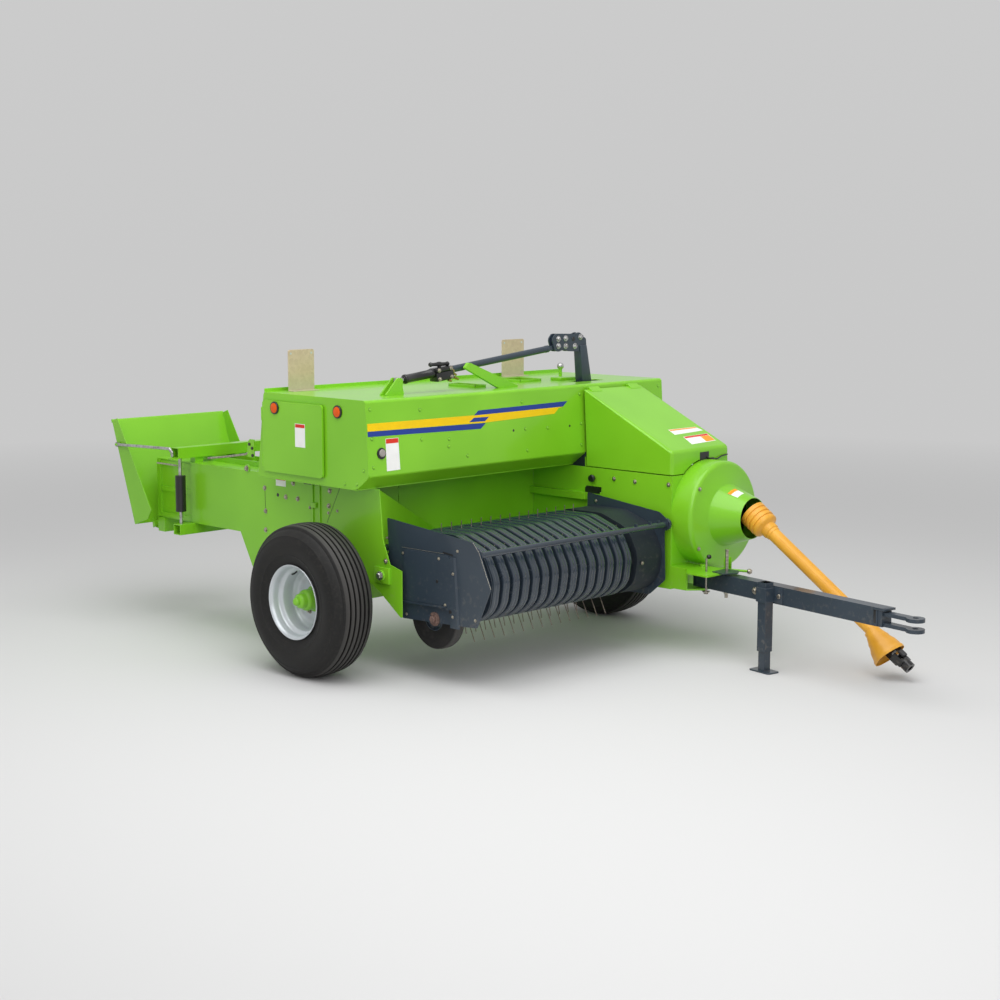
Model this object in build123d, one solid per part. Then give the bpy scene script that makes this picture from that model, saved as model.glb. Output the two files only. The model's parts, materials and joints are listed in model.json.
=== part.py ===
from build123d import *
import math
import os

# Small square hay baler, millimetres.
# +X is forward along the direction of travel, +Y the machine's left, +Z up.
# While it is laid out, X = 0 is the axle, Y = 0 lies midway between the two tyres and Z = 0 is the ground.
# Before it is written, everything moves so that the origin is the middle of the underside of its box.

# ---------------------------------------------------------------- driving dimensions

gap = 6.0                 # running gap between pieces that move past each other
spin = 0.05               # radial clearance of a shaft in its bore
sheet = 5.0               # folded sheet panels
plate = 8.0               # heavier frame plates

# wheels
track = 2420.0            # between the tyres' middle planes
tyreRadius = 424.0
tyreWidth = 290.0
treadWidth = 176.0
rimSeatRadius = 194.0
rimLipRadius = 207.5
rimWidth = 240.0
rimWall = 5.0
wellDepth = 24.0
hubRadius = 58.0
spindleRadius = 30.0
spindleOut = 40.0         # how far the spindle passes the tyre's middle plane
axleBox = 90.0

# bale chamber
baleWidth = 460.0
baleHeight = 362.0
chamberWall = 6.0
chamberRight = -930.0     # outer face of its right side
chamberFloor = 658.0      # underside
chamberRear = -1860.0
tensionStart = -1500.0
throatFront = 262.0       # front edge of the chamber's right side
railWidth = 150.0
tensionRear = 70.0        # depth of the cross member under the chamber's end
plungerLength = 325.0
plungerGap = 5.0
runnerGap = 1.0           # the plunger's wear strips run this far off the chamber's floor and sides

# hood over the feeder
hoodRight = -1060.0       # outer face of its right end
hoodLeft = 1410.0
hoodRearTop = -580.0
hoodRearLow = -645.0
hoodFrontTop = 302.0
hoodFrontLow = 328.0
hoodLipBack = 100.0       # how far the folded lip runs back under the front
hoodFold = 1110.0
hoodTop = 1523.0

# feeder channel between pickup and chamber
backWallX = -100.0
feederFloorZ = 690.0
feederFloorFront = 215.0
housingRight = 660.0      # outer face of the gear housing's right side

# gear housing and its cover
housingLeft = 1190.0
housingFront = 1010.0
housingRear = 460.0
housingLow = 362.0
housingSeam = 1026.0
sideLowRear = 830.0       # the right side drops to the full height ahead of the step
sideStepX = 320.0
coverTopRear = hoodTop - 31.0
coverTopFront = 1168.0
coverGap = 6.0

# flywheel and driveline
driveY = 975.0
driveZ = 784.0
flywheelRadius = 280.0
flywheelWidth = 90.0
shroudRadius = 317.0
shroudDepth = 145.0
coneBaseRadius = 185.0
coneMouthRadius = 120.0
coneLength = 185.0
jointX = 1400.0           # centre of the driveline's first joint
shaftSlope = 34.5         # degrees below level when it hangs on its stop
shaftLength = 1250.0      # joint centre to the end of the outer yoke
guardTubeRadius = 39.0
guardTubeWall = 3.0
guardTubeEnd = 760.0      # lower end of the upper guard tube, from the joint
innerTubeRadius = 34.0
innerTubeStart = 420.0
shaftRadius = 20.0
bellRadius = 82.0
bellBack = 55.0
bellEnd = 120.0
coneStart = 945.0         # the outer bell hangs from its neck here, a little below the shaft's line
coneReach = 175.0
coneDroop = 11.0          # degrees
coneWall = 5.0
yokeEar = 12.0
yokeHalf = 20.0
yokeOut = 40.0
ptoBore = 17.5

# drawbar and jack
drawbarHigh = 100.0
drawbarWide = 80.0
drawbarZ = 435.0
drawbarSwing = -9.1       # degrees from straight ahead
pivotX = 1150.0
pivotY = 786.0
drawbarLength = 1370.0    # from the pivot to the front of the beam
pivotPinRadius = 17.5
hitchPinRadius = 15.5
clevisReach = 221.0
hitchEye = 48.0           # radius of the eyes
jackAlong = 590.0         # from the pivot along the beam
jackBox = 60.0
jackWall = 4.0
jackLow = 115.0           # lower end of the sleeve
jackHigh = 505.0
jackLeg = 48.0
jackLap = 75.0            # how far the leg stays in the sleeve
footLong = 160.0
footWide = 90.0
footPlate = 8.0
beamWall = 8.0
hitchPlate = 20.0
hitchHalf = 26.0          # of the bars behind the eyes
mountGap = 5.0            # above and below the beam
mountWeb = 1130.0         # front edge of the mount's side web
mountFront = 1364.0       # front edge of its upper plate
mountLowFront = 1195.0    # and of its lower plate
mountLeft = 820.0
mountPlate = 10.0

# pickup
pickupRight = -880.0      # outer face of its right end plate
pickupLeft = 620.0        # outer face of its left end plate
pickupPivotX = 100.0
pickupPivotZ = 620.0
pickupPin = 15.0
reelX = 600.0
reelZ = 520.0
tineTipRadius = 340.0
tineReach = 250.0         # longest tine, from its bar
tineBarRadius = 150.0
tineRadius = 3.0
tineBar = 12.0
reelTube = 28.0
reelShaft = 15.0
bandPitch = 76.0
bandWidth = 52.0
bandSheet = 4.0
firstBand = -740.0        # middle of the band nearest the right end
drumRight = -778.0        # the reel's own right end plate, inboard of the gauge wheel
drumLeft = 395.0          # right face of the case round the reel's cam and drive
frontBarX = 1000.0
frontBarZ = 750.0
frontBar = 17.0
gaugeX = 615.0
gaugeZ = 362.0
gaugeRadius = 175.0
gaugeWidth = 80.0
gaugeY = -825.0
gaugeAxle = 12.0

# bale chute
chuteRight = -1055.0      # outer face of its right side
chuteWide = 860.0
chuteHingeBack = 65.0     # the hinge lies this far behind the chamber
chuteHingeZ = 600.0
chuteLean = 19.5          # degrees past upright when folded
chuteLength = 700.0
chuteSideLow = 205.0
chuteSideTip = 55.0
stayRadius = 9.0
stayY = -1071.0           # the stay lies in this plane, outside the chute's right side
stayAlong = 533.0         # its bolt, up the chute's side from the hinge
stayIn = 22.0             # and in from the tray's floor
stayBolt = 7.0
stayBendX = -1512.0
stayBendZ = 1126.0
stayTipX = -1484.0

# doors, ears and other small parts
doorRear = -572.0         # twine box door on the right end of the hood
doorFront = -40.0
doorLow = 1075.0
doorHigh = 1480.0
doorDepth = 12.0
doorSheet = 4.0
doorLap = 28.0            # how far the door laps its opening
knuckleRadius = 7.0
knucklePin = 4.0

# feeder drive on top of the hood
rockerX = 100.0
rockerPivotY = 940.0
rockerPivotZ = hoodTop - 273.0
rockerLean = 7.0          # degrees towards the machine's right
rockerLength = 545.0
rockerThick = 24.0
rockerHalf = 30.0
rockerPin = 15.0
rodPinY = 662.0
rodPinZ = rockerPivotZ + 492.0
rodRadius = 18.0
rodPin = 10.0
eyeClearance = 4.0        # the rod's eye has room for the arc of its pin
ballY = -650.0
ballZ = hoodTop + 76.0
ramRadius = 27.0
ramStart = 36.0
ramEnd = 270.0
rodStart = 140.0          # inner end of the rod, from the ball
clampStart = 284.0
clampEnd = 410.0
clampHalf = 34.0
clampUp = 34.0
clampDown = 30.0
rodEyeRadius = 26.0
rodEyeStem = 92.0
rodEyeStemHalf = 15.0

# galvanised plates that stand on the hood
uprightX = -500.0
uprightHigh = 237.0
uprightThick = 4.0
uprightFoot = 50.0
uprightNearRight = -942.0
uprightNearLeft = -753.0
uprightFarRight = 784.0
uprightFarLeft = 985.0

# ---------------------------------------------------------------- worked out from them

axleZ = tyreRadius
chuteHingeX = chamberRear - chuteHingeBack
chamberLeft = chamberRight + baleWidth + 2 * chamberWall
chamberTop = chamberFloor + baleHeight + 2 * chamberWall
innerRight = chamberRight + chamberWall
innerLeft = chamberLeft - chamberWall
floorTop = chamberFloor + chamberWall
hoodUnderside = chamberTop + sheet
lipBackX = hoodFrontLow - hoodLipBack
shroudBack = housingFront
bandCount = int((drumLeft - bandWidth / 2 - firstBand) / bandPitch) + 1
tineCount = int((drumLeft - gap - sheet - firstBand) / bandPitch - 0.5) + 1
parts = {}


# ---------------------------------------------------------------- small helpers

def slab(x0, x1, y0, y1, z0, z1):
    """A box between two corners."""
    middle = Pos((x0 + x1) / 2, (y0 + y1) / 2, (z0 + z1) / 2)
    return middle * Box(x1 - x0, y1 - y0, z1 - z0)


def sidePlate(outline, y0, y1):
    """A plate whose outline is given in X and Z, and which is thick along Y."""
    wire = Wire.make_polygon([(x, y0, z) for x, z in outline], close=True)
    return Solid.extrude(Face(wire), Vector(0, y1 - y0, 0))


def floorPlate(outline, z0, z1):
    """A plate whose outline is given in X and Y."""
    wire = Wire.make_polygon([(x, y, z0) for x, y in outline], close=True)
    return Solid.extrude(Face(wire), Vector(0, 0, z1 - z0))


def crossPlate(outline, x0, x1):
    """A plate whose outline is given in Y and Z, and which is thick along X."""
    wire = Wire.make_polygon([(x0, y, z) for y, z in outline], close=True)
    return Solid.extrude(Face(wire), Vector(x1 - x0, 0, 0))


def strip(path, thick, y0, y1):
    """A sheet folded along a path in X and Z, thick on the left hand of the path's direction."""
    inner = []
    normals = []
    for (xa, za), (xb, zb) in zip(path, path[1:]):
        run = math.hypot(xb - xa, zb - za)
        normals.append((-(zb - za) / run, (xb - xa) / run))
    for i, (x, z) in enumerate(path):
        first = normals[max(i - 1, 0)]
        second = normals[min(i, len(normals) - 1)]
        mitre = thick / (1 + first[0] * second[0] + first[1] * second[1])
        inner.append((x + (first[0] + second[0]) * mitre, z + (first[1] + second[1]) * mitre))
    return sidePlate(path + inner[::-1], y0, y1)


def rod(start, end, radius):
    """A round bar between two points."""
    run = Vector(*end) - Vector(*start)
    return Solid.make_cylinder(radius, run.length, Plane(origin=start, z_dir=run))


def tube(start, end, radius, wall):
    """A round tube between two points."""
    return rod(start, end, radius) - rod(start, end, radius - wall)


def boxTube(x0, x1, y0, y1, z0, z1, wall, along):
    """A square tube, open at both ends of the axis named by along."""
    inset = {axis: 0 if axis == along else wall for axis in "XYZ"}
    hollow = slab(x0 + inset["X"], x1 - inset["X"], y0 + inset["Y"], y1 - inset["Y"],
                  z0 + inset["Z"], z1 - inset["Z"])
    return slab(x0, x1, y0, y1, z0, z1) - hollow


def spun(outline, x, y, z):
    """A solid turned about a line along Y, from an outline of radius and offset along Y."""
    wire = Wire.make_polygon([(r, offset, 0) for r, offset in outline], close=True)
    return Pos(x, y, z) * Solid.revolve(Face(wire), 360, Axis.Y)


def spunX(outline, x, y, z):
    """A solid turned about a line along X, from an outline of radius and offset along X."""
    wire = Wire.make_polygon([(offset, r, 0) for r, offset in outline], close=True)
    return Pos(x, y, z) * Solid.revolve(Face(wire), 360, Axis.X)


def fuse(pieces):
    """All pieces of a list joined."""
    whole = pieces[0]
    for piece in pieces[1:]:
        whole = whole + piece
    return whole


# ---------------------------------------------------------------- road wheels and axle

def tyreShape(radius, width, tread, seat):
    """Half of a tyre's section mirrored about its middle plane, without its tread."""
    bead = width * 0.36
    side = radius - (radius - seat) * 0.45
    half = [(seat, bead), (seat + 26, bead + 6), (side, width / 2), (radius - 34, tread / 2 + 22),
            (radius - 8, tread / 2), (radius, tread / 2 - 30)]
    return half + [(r, -offset) for r, offset in reversed(half)]


def rimShape(side):
    """The steel wheel's section, from its outer lip to its disc; side is +1 on the left wheel."""
    lip = rimWidth / 2
    well = rimSeatRadius - wellDepth
    outer = [(rimLipRadius, -lip), (rimSeatRadius, -lip + 8), (rimSeatRadius, -30), (well, -14),
             (well, 46), (rimSeatRadius, 62), (rimSeatRadius, lip - 8), (rimLipRadius, lip)]
    inner = [(rimLipRadius, lip + rimWall), (rimSeatRadius - rimWall, lip + rimWall), (rimSeatRadius - rimWall, 66),
             (well - rimWall, 50), (well - rimWall, -18), (rimSeatRadius - rimWall, -34),
             (rimSeatRadius - rimWall, -lip - rimWall), (rimLipRadius, -lip - rimWall)]
    return [(r, offset * side) for r, offset in outer + inner]


discOffset = -38.0        # the disc sits towards the machine from the tyre's middle plane
discWall = 8.0
hubBack = discOffset - 60
hubCap = 112.0
collarLength = 60.0
axlePieces = []
for name, side in (("right", -1), ("left", 1)):
    wheelY = side * track / 2
    parts["tyre_" + name] = spun(tyreShape(tyreRadius, tyreWidth, treadWidth, rimSeatRadius), 0, wheelY, axleZ)
    barrel = spun(rimShape(side), 0, wheelY, axleZ)
    discEdge = rimSeatRadius - wellDepth - rimWall + 2
    discOutline = [(hubRadius, discOffset), (150, discOffset), (discEdge, -18),
                   (discEdge, -10), (150, discOffset + discWall), (hubRadius, discOffset + discWall)]
    disc = spun([(r, offset * side) for r, offset in discOutline], 0, wheelY, axleZ)
    parts["rim_" + name] = barrel + disc
    # the hub is bored for the spindle; its cap closes the outer end
    hubOutline = [(spindleRadius + spin, hubBack), (hubRadius, hubBack), (hubRadius, 48), (42, 58),
                  (42, 84), (20, hubCap), (0, hubCap), (0, 58), (spindleRadius + spin, 58)]
    parts["hub_" + name] = spun([(r, offset * side) for r, offset in hubOutline], 0, wheelY, axleZ)
    collarEnd = wheelY + side * (hubBack - gap)
    beamEnd = collarEnd - side * collarLength
    axlePieces.append(rod((0, beamEnd, axleZ), (0, wheelY + side * spindleOut, axleZ), spindleRadius))
    axlePieces.append(rod((0, beamEnd, axleZ), (0, collarEnd, axleZ), axleBox / 2 - 2))

beamHalf = track / 2 + hubBack - gap - collarLength
beam = slab(-axleBox / 2, axleBox / 2, -beamHalf, beamHalf, axleZ - axleBox / 2, axleZ + axleBox / 2)
parts["axle"] = fuse([beam] + axlePieces)

# the cross beam stands on the axle, reaches from the chamber to the left side and carries a rail
# that runs forward to the gear housing
crossLow = 560.0
crossHigh = chamberFloor
crossFront = 40.0
crossRear = -60.0
crossLeft = 1000.0
railRight = housingRight + 60
railLeft = railRight + 100
hangers = [slab(-30, 30, y, y + 80, axleZ + axleBox / 2, crossLow)
           for y in (chamberRight + 20, chamberLeft + 60, housingRight - 140)]
crossBeam = slab(crossRear, crossFront, innerRight, crossLeft, crossLow, crossHigh)
housingRail = slab(crossFront, housingRear, railRight, railLeft, crossLow, crossHigh)
pivotEar = sidePlate([(crossFront, crossLow), (pickupPivotX, crossLow), (pickupPivotX + 28, pickupPivotZ),
                      (crossFront, crossHigh)], pickupLeft + gap, pickupLeft + gap + 12)
pivotPin = rod((pickupPivotX, pickupLeft + gap, pickupPivotZ), (pickupPivotX, pickupLeft - 30, pickupPivotZ),
               pickupPin)
panelGap = 0.5
feederPanel = slab(backWallX, sideStepX - panelGap, housingRight + panelGap, housingRight + sheet,
                   crossHigh - 1, sideLowRear - panelGap)
parts["cross_frame"] = fuse([crossBeam, housingRail, feederPanel, pivotEar, pivotPin] + hangers)


# ---------------------------------------------------------------- bale chamber

slopeTop = (-1000.0, chamberFloor)
guardPath = [slopeTop, (-885, 457), (-770, 380), (-190, 380), (-130, 520), (-130, chamberFloor)]
sideFront = [(throatFront, chamberTop), (288, 755), (344, 624), (440, 600), (440, 345), (428, 342), (259, 462),
             (150, 520)]
rightSide = [(tensionStart, chamberTop)] + sideFront + guardPath[-2::-1] + [(tensionStart, chamberFloor)]
nearPin = rod((pickupPivotX, innerRight, pickupPivotZ), (pickupPivotX, pickupRight + 25, pickupPivotZ), pickupPin)
parts["chamber_right_side"] = sidePlate(rightSide, chamberRight, innerRight) + nearPin

leftSide = [(tensionStart, chamberTop), (backWallX - sheet, chamberTop), (backWallX - sheet, chamberFloor)]
leftSide += guardPath[-1::-1] + [(tensionStart, chamberFloor)]
leftSide = [point for i, point in enumerate(leftSide) if point not in leftSide[:i]]
parts["chamber_left_side"] = sidePlate(leftSide, innerLeft, chamberLeft)

chamberPan = slab(chamberRear, feederFloorFront, innerRight, innerLeft, chamberFloor, floorTop)
parts["chamber_floor"] = chamberPan
parts["needle_guard"] = strip(guardPath[::-1], -sheet, innerRight, innerLeft) - chamberPan

# the plunger's front face lies level with the feeder's back wall; it is open below, between wear strips
plungerRear = backWallX - plungerLength
plungerRight = innerRight + plungerGap
plungerLeft = innerLeft - plungerGap
plungerLow = floorTop + plungerGap
plungerHigh = chamberTop - chamberWall - plungerGap
plungerBox = slab(plungerRear, backWallX, plungerRight, plungerLeft, plungerLow, plungerHigh)
plungerRoom = slab(plungerRear + plate, backWallX - plate, plungerRight + plate, plungerLeft - plate,
                   plungerLow - 1, plungerHigh - plate)
stripWide = 40.0
strips = []
for y in (plungerRight, plungerLeft - stripWide):
    strips.append(slab(plungerRear, backWallX, y, y + stripWide, floorTop + runnerGap, plungerLow + 1))
    strips.append(slab(plungerRear, backWallX, y, y + stripWide, plungerLow, plungerLow + plate))
for z in (plungerLow + 60, plungerHigh - 100):
    strips.append(slab(plungerRear, backWallX, innerRight + runnerGap, plungerRight + 1, z, z + stripWide))
    strips.append(slab(plungerRear, backWallX, plungerLeft - 1, innerLeft - runnerGap, z, z + stripWide))
parts["plunger"] = fuse([plungerBox - plungerRoom] + strips)

# side rails of the tension section, squeezed in by the yokes; each has ribs and a rear post
tensionInset = 10.0
ribDepth = 8.0
tensionRails = []
for outer, inward in ((chamberRight, 1), (chamberLeft, -1)):
    face = outer + inward * tensionInset
    back = face + inward * chamberWall
    low, high = sorted((face, back))
    panel = slab(chamberRear, tensionStart, low, high, floorTop, chamberTop - chamberWall)
    ribLow, ribHigh = sorted((outer + inward * (tensionInset - ribDepth), back))
    ribs = [slab(chamberRear + 40, tensionStart - 4, ribLow, ribHigh, z, z + 30) for z in (floorTop, 830, 990)]
    post = slab(chamberRear, chamberRear + 36, min(outer, back), max(outer, back), floorTop, chamberTop - chamberWall)
    tensionRails.append(fuse([panel, post] + ribs))
parts["tension_rails"] = Compound(tensionRails)

# top rails, joined across by straps, with an upstand along the slot between them
topRear = chamberRear
topFront = hoodRearLow - gap
topLow = chamberTop - chamberWall
rails = []
for y0, y1, lip in ((innerRight, innerRight + railWidth, innerRight + railWidth - 8),
                    (innerLeft - railWidth, innerLeft, innerLeft - railWidth)):
    rails.append(slab(topRear, topFront, y0, y1, topLow, chamberTop))
    rails.append(slab(topRear, topFront, lip, lip + 8, chamberTop - 1, chamberTop + 32))
straps = [slab(x, x + 50, innerRight + railWidth - 9, innerLeft - railWidth + 9, chamberTop - 1, chamberTop + 5)
          for x in (-1290, -900)]
parts["chamber_top_rails"] = fuse(rails + straps)

# rear cross member with the lugs of the chute hinge
memberFront = chamberRear + tensionRear
memberLow = 568.0
lugWidth = 14.0
chutePin = 10.0
member = slab(chamberRear, memberFront, chamberRight, chamberLeft, memberLow, chamberFloor)
lugs = []
for y in (chamberRight + 20, chamberLeft - 20 - lugWidth):
    lugOutline = [(chamberRear, memberLow + 6), (chuteHingeX, chuteHingeZ - 18), (chuteHingeX - 16, chuteHingeZ),
                  (chuteHingeX, chuteHingeZ + 18), (chamberRear, chamberFloor - 6)]
    lugs.append(sidePlate(lugOutline, y, y + lugWidth))
pinReach = 26.0
hingePins = [rod((chuteHingeX, lugY - inner * pinReach, chuteHingeZ), (chuteHingeX, lugY, chuteHingeZ), chutePin)
             for lugY, inner in ((chamberRight + 20 + lugWidth, -1), (chamberLeft - 20 - lugWidth, 1))]
parts["rear_cross_member"] = fuse([member] + lugs + hingePins)

# the two yokes across the chamber and the spring rams between their ends
yokeX = -1500.0
yokeDeep = 70.0
yokeHigh = 65.0
yokeReach = 110.0
springOut = 75.0
springRadius = 32.0
springLow = 735.0
springHigh = 958.0
springRod = 10.0
blockHigh = 33.0
upperYokeZ = chamberTop + blockHigh
lowerYokeZ = chamberFloor - yokeHigh
yokeRight = chamberRight - yokeReach
yokeBeams = [boxTube(yokeX - yokeDeep / 2, yokeX + yokeDeep / 2, yokeRight, chamberLeft + yokeReach,
                     z, z + yokeHigh, sheet, "Y") for z in (upperYokeZ, lowerYokeZ)]
blocks = [slab(yokeX - 25, yokeX + 25, y, y + 60, chamberTop, upperYokeZ)
          for y in (chamberRight + 20, chamberLeft - 80)]
# the folded chute's stay hooks over this tab
stayTab = slab(stayTipX - 20, stayTipX + 22, stayY - 16, yokeRight + 1, upperYokeZ, upperYokeZ + plate)
parts["upper_yoke"] = fuse([yokeBeams[0], stayTab] + blocks)
parts["lower_yoke"] = yokeBeams[1]
springs = []
for y in (chamberRight - springOut, chamberLeft + springOut):
    ram = rod((yokeX, y, springLow), (yokeX, y, springHigh), springRadius)
    upper = rod((yokeX, y, springHigh - 1), (yokeX, y, upperYokeZ), springRod)
    lower = rod((yokeX, y, lowerYokeZ + yokeHigh), (yokeX, y, springLow + 1), springRod)
    springs.append(fuse([ram, upper, lower]))
parts["tension_springs"] = Compound(springs)


# ---------------------------------------------------------------- bale chute, folded up

lean = math.radians(chuteLean)
along = (-math.sin(lean), math.cos(lean))      # from the hinge to the tip, in X and Z
forward = (math.cos(lean), math.sin(lean))     # square to the tray, towards the chamber


def tray(distance, out):
    """A point in X and Z of the folded chute, from its hinge."""
    return (chuteHingeX + along[0] * distance + forward[0] * out, chuteHingeZ + along[1] * distance + forward[1] * out)


chuteLeft = chuteRight + chuteWide
trayStart = 16.0
trayFloor = sidePlate([tray(trayStart, -sheet), tray(chuteLength, -sheet), tray(chuteLength, 0), tray(trayStart, 0)],
                      chuteRight, chuteLeft)
traySides = [sidePlate([tray(trayStart, -1), tray(chuteLength, -1), tray(chuteLength, chuteSideTip),
                        tray(60, chuteSideLow), tray(trayStart, chuteSideLow - 60)], y, y + sheet)
             for y in (chuteRight, chuteLeft - sheet)]
trayEars = []
earWidth = 12.0
earGap = 1.0
for lugY, outward in ((chamberRight + 20, -1), (chamberLeft - 20, 1)):
    y0, y1 = sorted((lugY + outward * earGap, lugY + outward * (earGap + earWidth)))
    ear = sidePlate([tray(-18, -14), tray(-18, 14), tray(40, 14), tray(40, -2)], y0, y1)
    trayEars.append(ear)
trayHook = sidePlate([tray(chuteLength - 2, -sheet), tray(chuteLength - 2, 0), tray(chuteLength + 16, -8),
                      tray(chuteLength + 13, -12)], chuteRight, chuteLeft)
parts["bale_chute"] = fuse([trayFloor, trayHook] + traySides + trayEars)

# the stay swings on a bolt through the chute's right side; its hooked end hangs over the tab
boltX, boltZ = tray(stayAlong, stayIn)
parts["bale_chute"] = parts["bale_chute"] + rod((boltX, chuteRight + sheet, boltZ),
                                                (boltX, stayY - 16, boltZ), stayBolt)
stayEye = tube((boltX, stayY - 8, boltZ), (boltX, stayY + 8, boltZ), stayBolt + 9, 9 - spin)
stayStart = boltX + stayBolt + 5
stayRise = (stayBendZ - boltZ) / (stayBendX - boltX)
stayTipZ = upperYokeZ + plate + gap
stayRun = rod((stayStart, stayY, boltZ + stayRise * (stayStart - boltX)), (stayBendX, stayY, stayBendZ), stayRadius)
stayHook = rod((stayBendX, stayY, stayBendZ), (stayTipX, stayY, stayBendZ - 22), stayRadius)
stayDrop = rod((stayTipX, stayY, stayBendZ - 22), (stayTipX, stayY, stayTipZ), stayRadius)
stayCorners = [Pos(x, stayY, z) * Sphere(stayRadius) for x, z in ((stayBendX, stayBendZ), (stayTipX, stayBendZ - 22))]
parts["chute_stay"] = fuse([stayEye, stayRun, stayHook, stayDrop] + stayCorners)


# ---------------------------------------------------------------- hood

hoodOutline = [(hoodRearTop, hoodTop), (hoodFrontTop, hoodTop), (hoodFrontLow, hoodFold),
               (lipBackX, hoodUnderside), (hoodRearLow, hoodUnderside)]
underTop = hoodTop - sheet
frontSlope = (hoodFrontLow - hoodFrontTop) / (hoodTop - hoodFold)
rearSlope = (hoodRearTop - hoodRearLow) / (hoodTop - hoodUnderside)
insideRight = hoodRight + sheet
insideLeft = hoodLeft - sheet

rightEnd = sidePlate(hoodOutline, hoodRight, insideRight)
doorway = slab(doorRear + doorLap, doorFront - doorLap, hoodRight - 1, insideRight + 1,
               doorLow + doorLap, doorHigh - doorLap)
hingeX = doorRear - knuckleRadius - 1
hingeY = hoodRight - gap - doorDepth / 2
hingeHeights = ((1110, 1170), (1370, 1430))
doorEars = []
for low, high in hingeHeights:
    for z0, z1 in ((low - 9, low - 1), (high + 1, high + 9)):
        doorEars.append(rod((hingeX, hingeY, z0), (hingeX, hingeY, z1), knuckleRadius))
        doorEars.append(slab(hingeX - knuckleRadius, hingeX + knuckleRadius, hingeY, hoodRight + 1, z0, z1))
    doorEars.append(rod((hingeX, hingeY, low - 9), (hingeX, hingeY, high + 9), knucklePin))
parts["hood_right_end"] = fuse([rightEnd - doorway] + doorEars)
parts["hood_left_end"] = sidePlate(hoodOutline, insideLeft, hoodLeft)

doorOuter = hoodRight - gap - doorDepth
doorShell = slab(doorRear, doorFront, doorOuter, hoodRight - gap, doorLow, doorHigh)
doorHollow = slab(doorRear + doorSheet, doorFront - doorSheet, doorOuter + doorSheet, hoodRight - gap + 1,
                  doorLow + doorSheet, doorHigh - doorSheet)
doorKnuckles = []
for low, high in hingeHeights:
    doorKnuckles.append(tube((hingeX, hingeY, low), (hingeX, hingeY, high), knuckleRadius,
                             knuckleRadius - knucklePin - spin))
    doorKnuckles.append(slab(hingeX + knucklePin + 1, doorRear + 1, hingeY - 3, hingeY + 3, low, high))
parts["twine_door"] = fuse([doorShell - doorHollow] + doorKnuckles)

frontTopX = hoodFrontTop + frontSlope * sheet
rearTopX = hoodRearTop - rearSlope * sheet
frontSheet = strip([(lipBackX, hoodUnderside), (hoodFrontLow, hoodFold), (frontTopX, underTop)], sheet,
                   insideRight, insideLeft)
rearFoot = sheet * rearSlope
parts["hood_rear"] = strip([(rearTopX, underTop), (hoodRearLow + rearSlope * rearFoot, hoodUnderside + rearFoot)],
                           sheet, insideRight, insideLeft)

# the top has one slot for the rocker and two for the feeder tines, and an upstand along its rear edge
upstandHigh = 40.0
topSlots = [slab(x0, x1, y0, y1, underTop - 1, hoodTop + 1)
            for x0, x1, y0, y1 in ((58, 142, 790, 1050), (-250, -75, 516, 690), (-166, 50, 8, 85))]
hoodTopSheet = slab(hoodRearTop, hoodFrontTop, insideRight, insideLeft, underTop, hoodTop)
for slot in topSlots:
    hoodTopSheet = hoodTopSheet - slot
upstand = slab(hoodRearTop, hoodRearTop + sheet, insideRight, insideLeft, hoodTop - 1, hoodTop + upstandHigh)
parts["hood_top"] = hoodTopSheet + upstand
parts["feeder_roof"] = slab(hoodRearLow, lipBackX, hoodRight, hoodLeft, chamberTop, hoodUnderside)

# galvanised plates, each on a folded foot
uprights = []
for y0, y1 in ((uprightNearRight, uprightNearLeft), (uprightFarRight, uprightFarLeft)):
    foot = slab(uprightX, uprightX + uprightFoot, y0, y1, hoodTop, hoodTop + uprightThick)
    uprights.append(slab(uprightX - uprightThick, uprightX, y0, y1, hoodTop, hoodTop + uprightHigh) + foot)
parts["upright_plates"] = Compound(uprights)


# ---------------------------------------------------------------- feeder channel

parts["feeder_back_wall"] = slab(backWallX - sheet, backWallX, innerLeft, housingRight, feederFloorZ, chamberTop)
parts["feeder_floor"] = slab(backWallX, feederFloorFront, innerLeft, housingRight, feederFloorZ,
                             feederFloorZ + sheet)
# a low wing runs from the chamber's front edge back to the wall and drops to the floor there
wingRightX = 252.0
wingLeftY = -205.0
wingLow = feederFloorZ + sheet
wingRun = math.hypot(wingRightX - backWallX, wingLeftY - innerRight)
wingNormal = Vector(wingLeftY - innerRight, wingRightX - backWallX, 0) * (1 / wingRun)
wingCorners = [(wingRightX, innerRight, wingLow), (wingRightX, innerRight, chamberTop - 6),
               (backWallX, wingLeftY, wingLow + 12), (backWallX, wingLeftY, wingLow)]
wingFace = Face(Wire.make_polygon(wingCorners, close=True))
parts["crop_wing"] = Solid.extrude(wingFace, wingNormal * sheet)


# ---------------------------------------------------------------- gear housing, its cover and the flywheel

housingSheet = 6.0
innerHousingRight = housingRight + housingSheet
innerHousingLeft = housingLeft - housingSheet
frontInside = housingFront - housingSheet
rightOutline = [(backWallX, housingSeam), (housingFront, housingSeam), (housingFront, housingLow),
                (sideStepX + 140, housingLow), (sideStepX, 520), (sideStepX, sideLowRear), (backWallX, sideLowRear)]
sightHole = slab(sideStepX + 20, sideStepX + 150, housingRight - 1, innerHousingRight + 1, 880, 912)
sideRail = slab(backWallX, sideStepX + 40, housingRight - 34, housingRight + 1, sideLowRear, sideLowRear + 42)
parts["housing_right_side"] = fuse([sidePlate(rightOutline, housingRight, innerHousingRight) - sightHole, sideRail])

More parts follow.
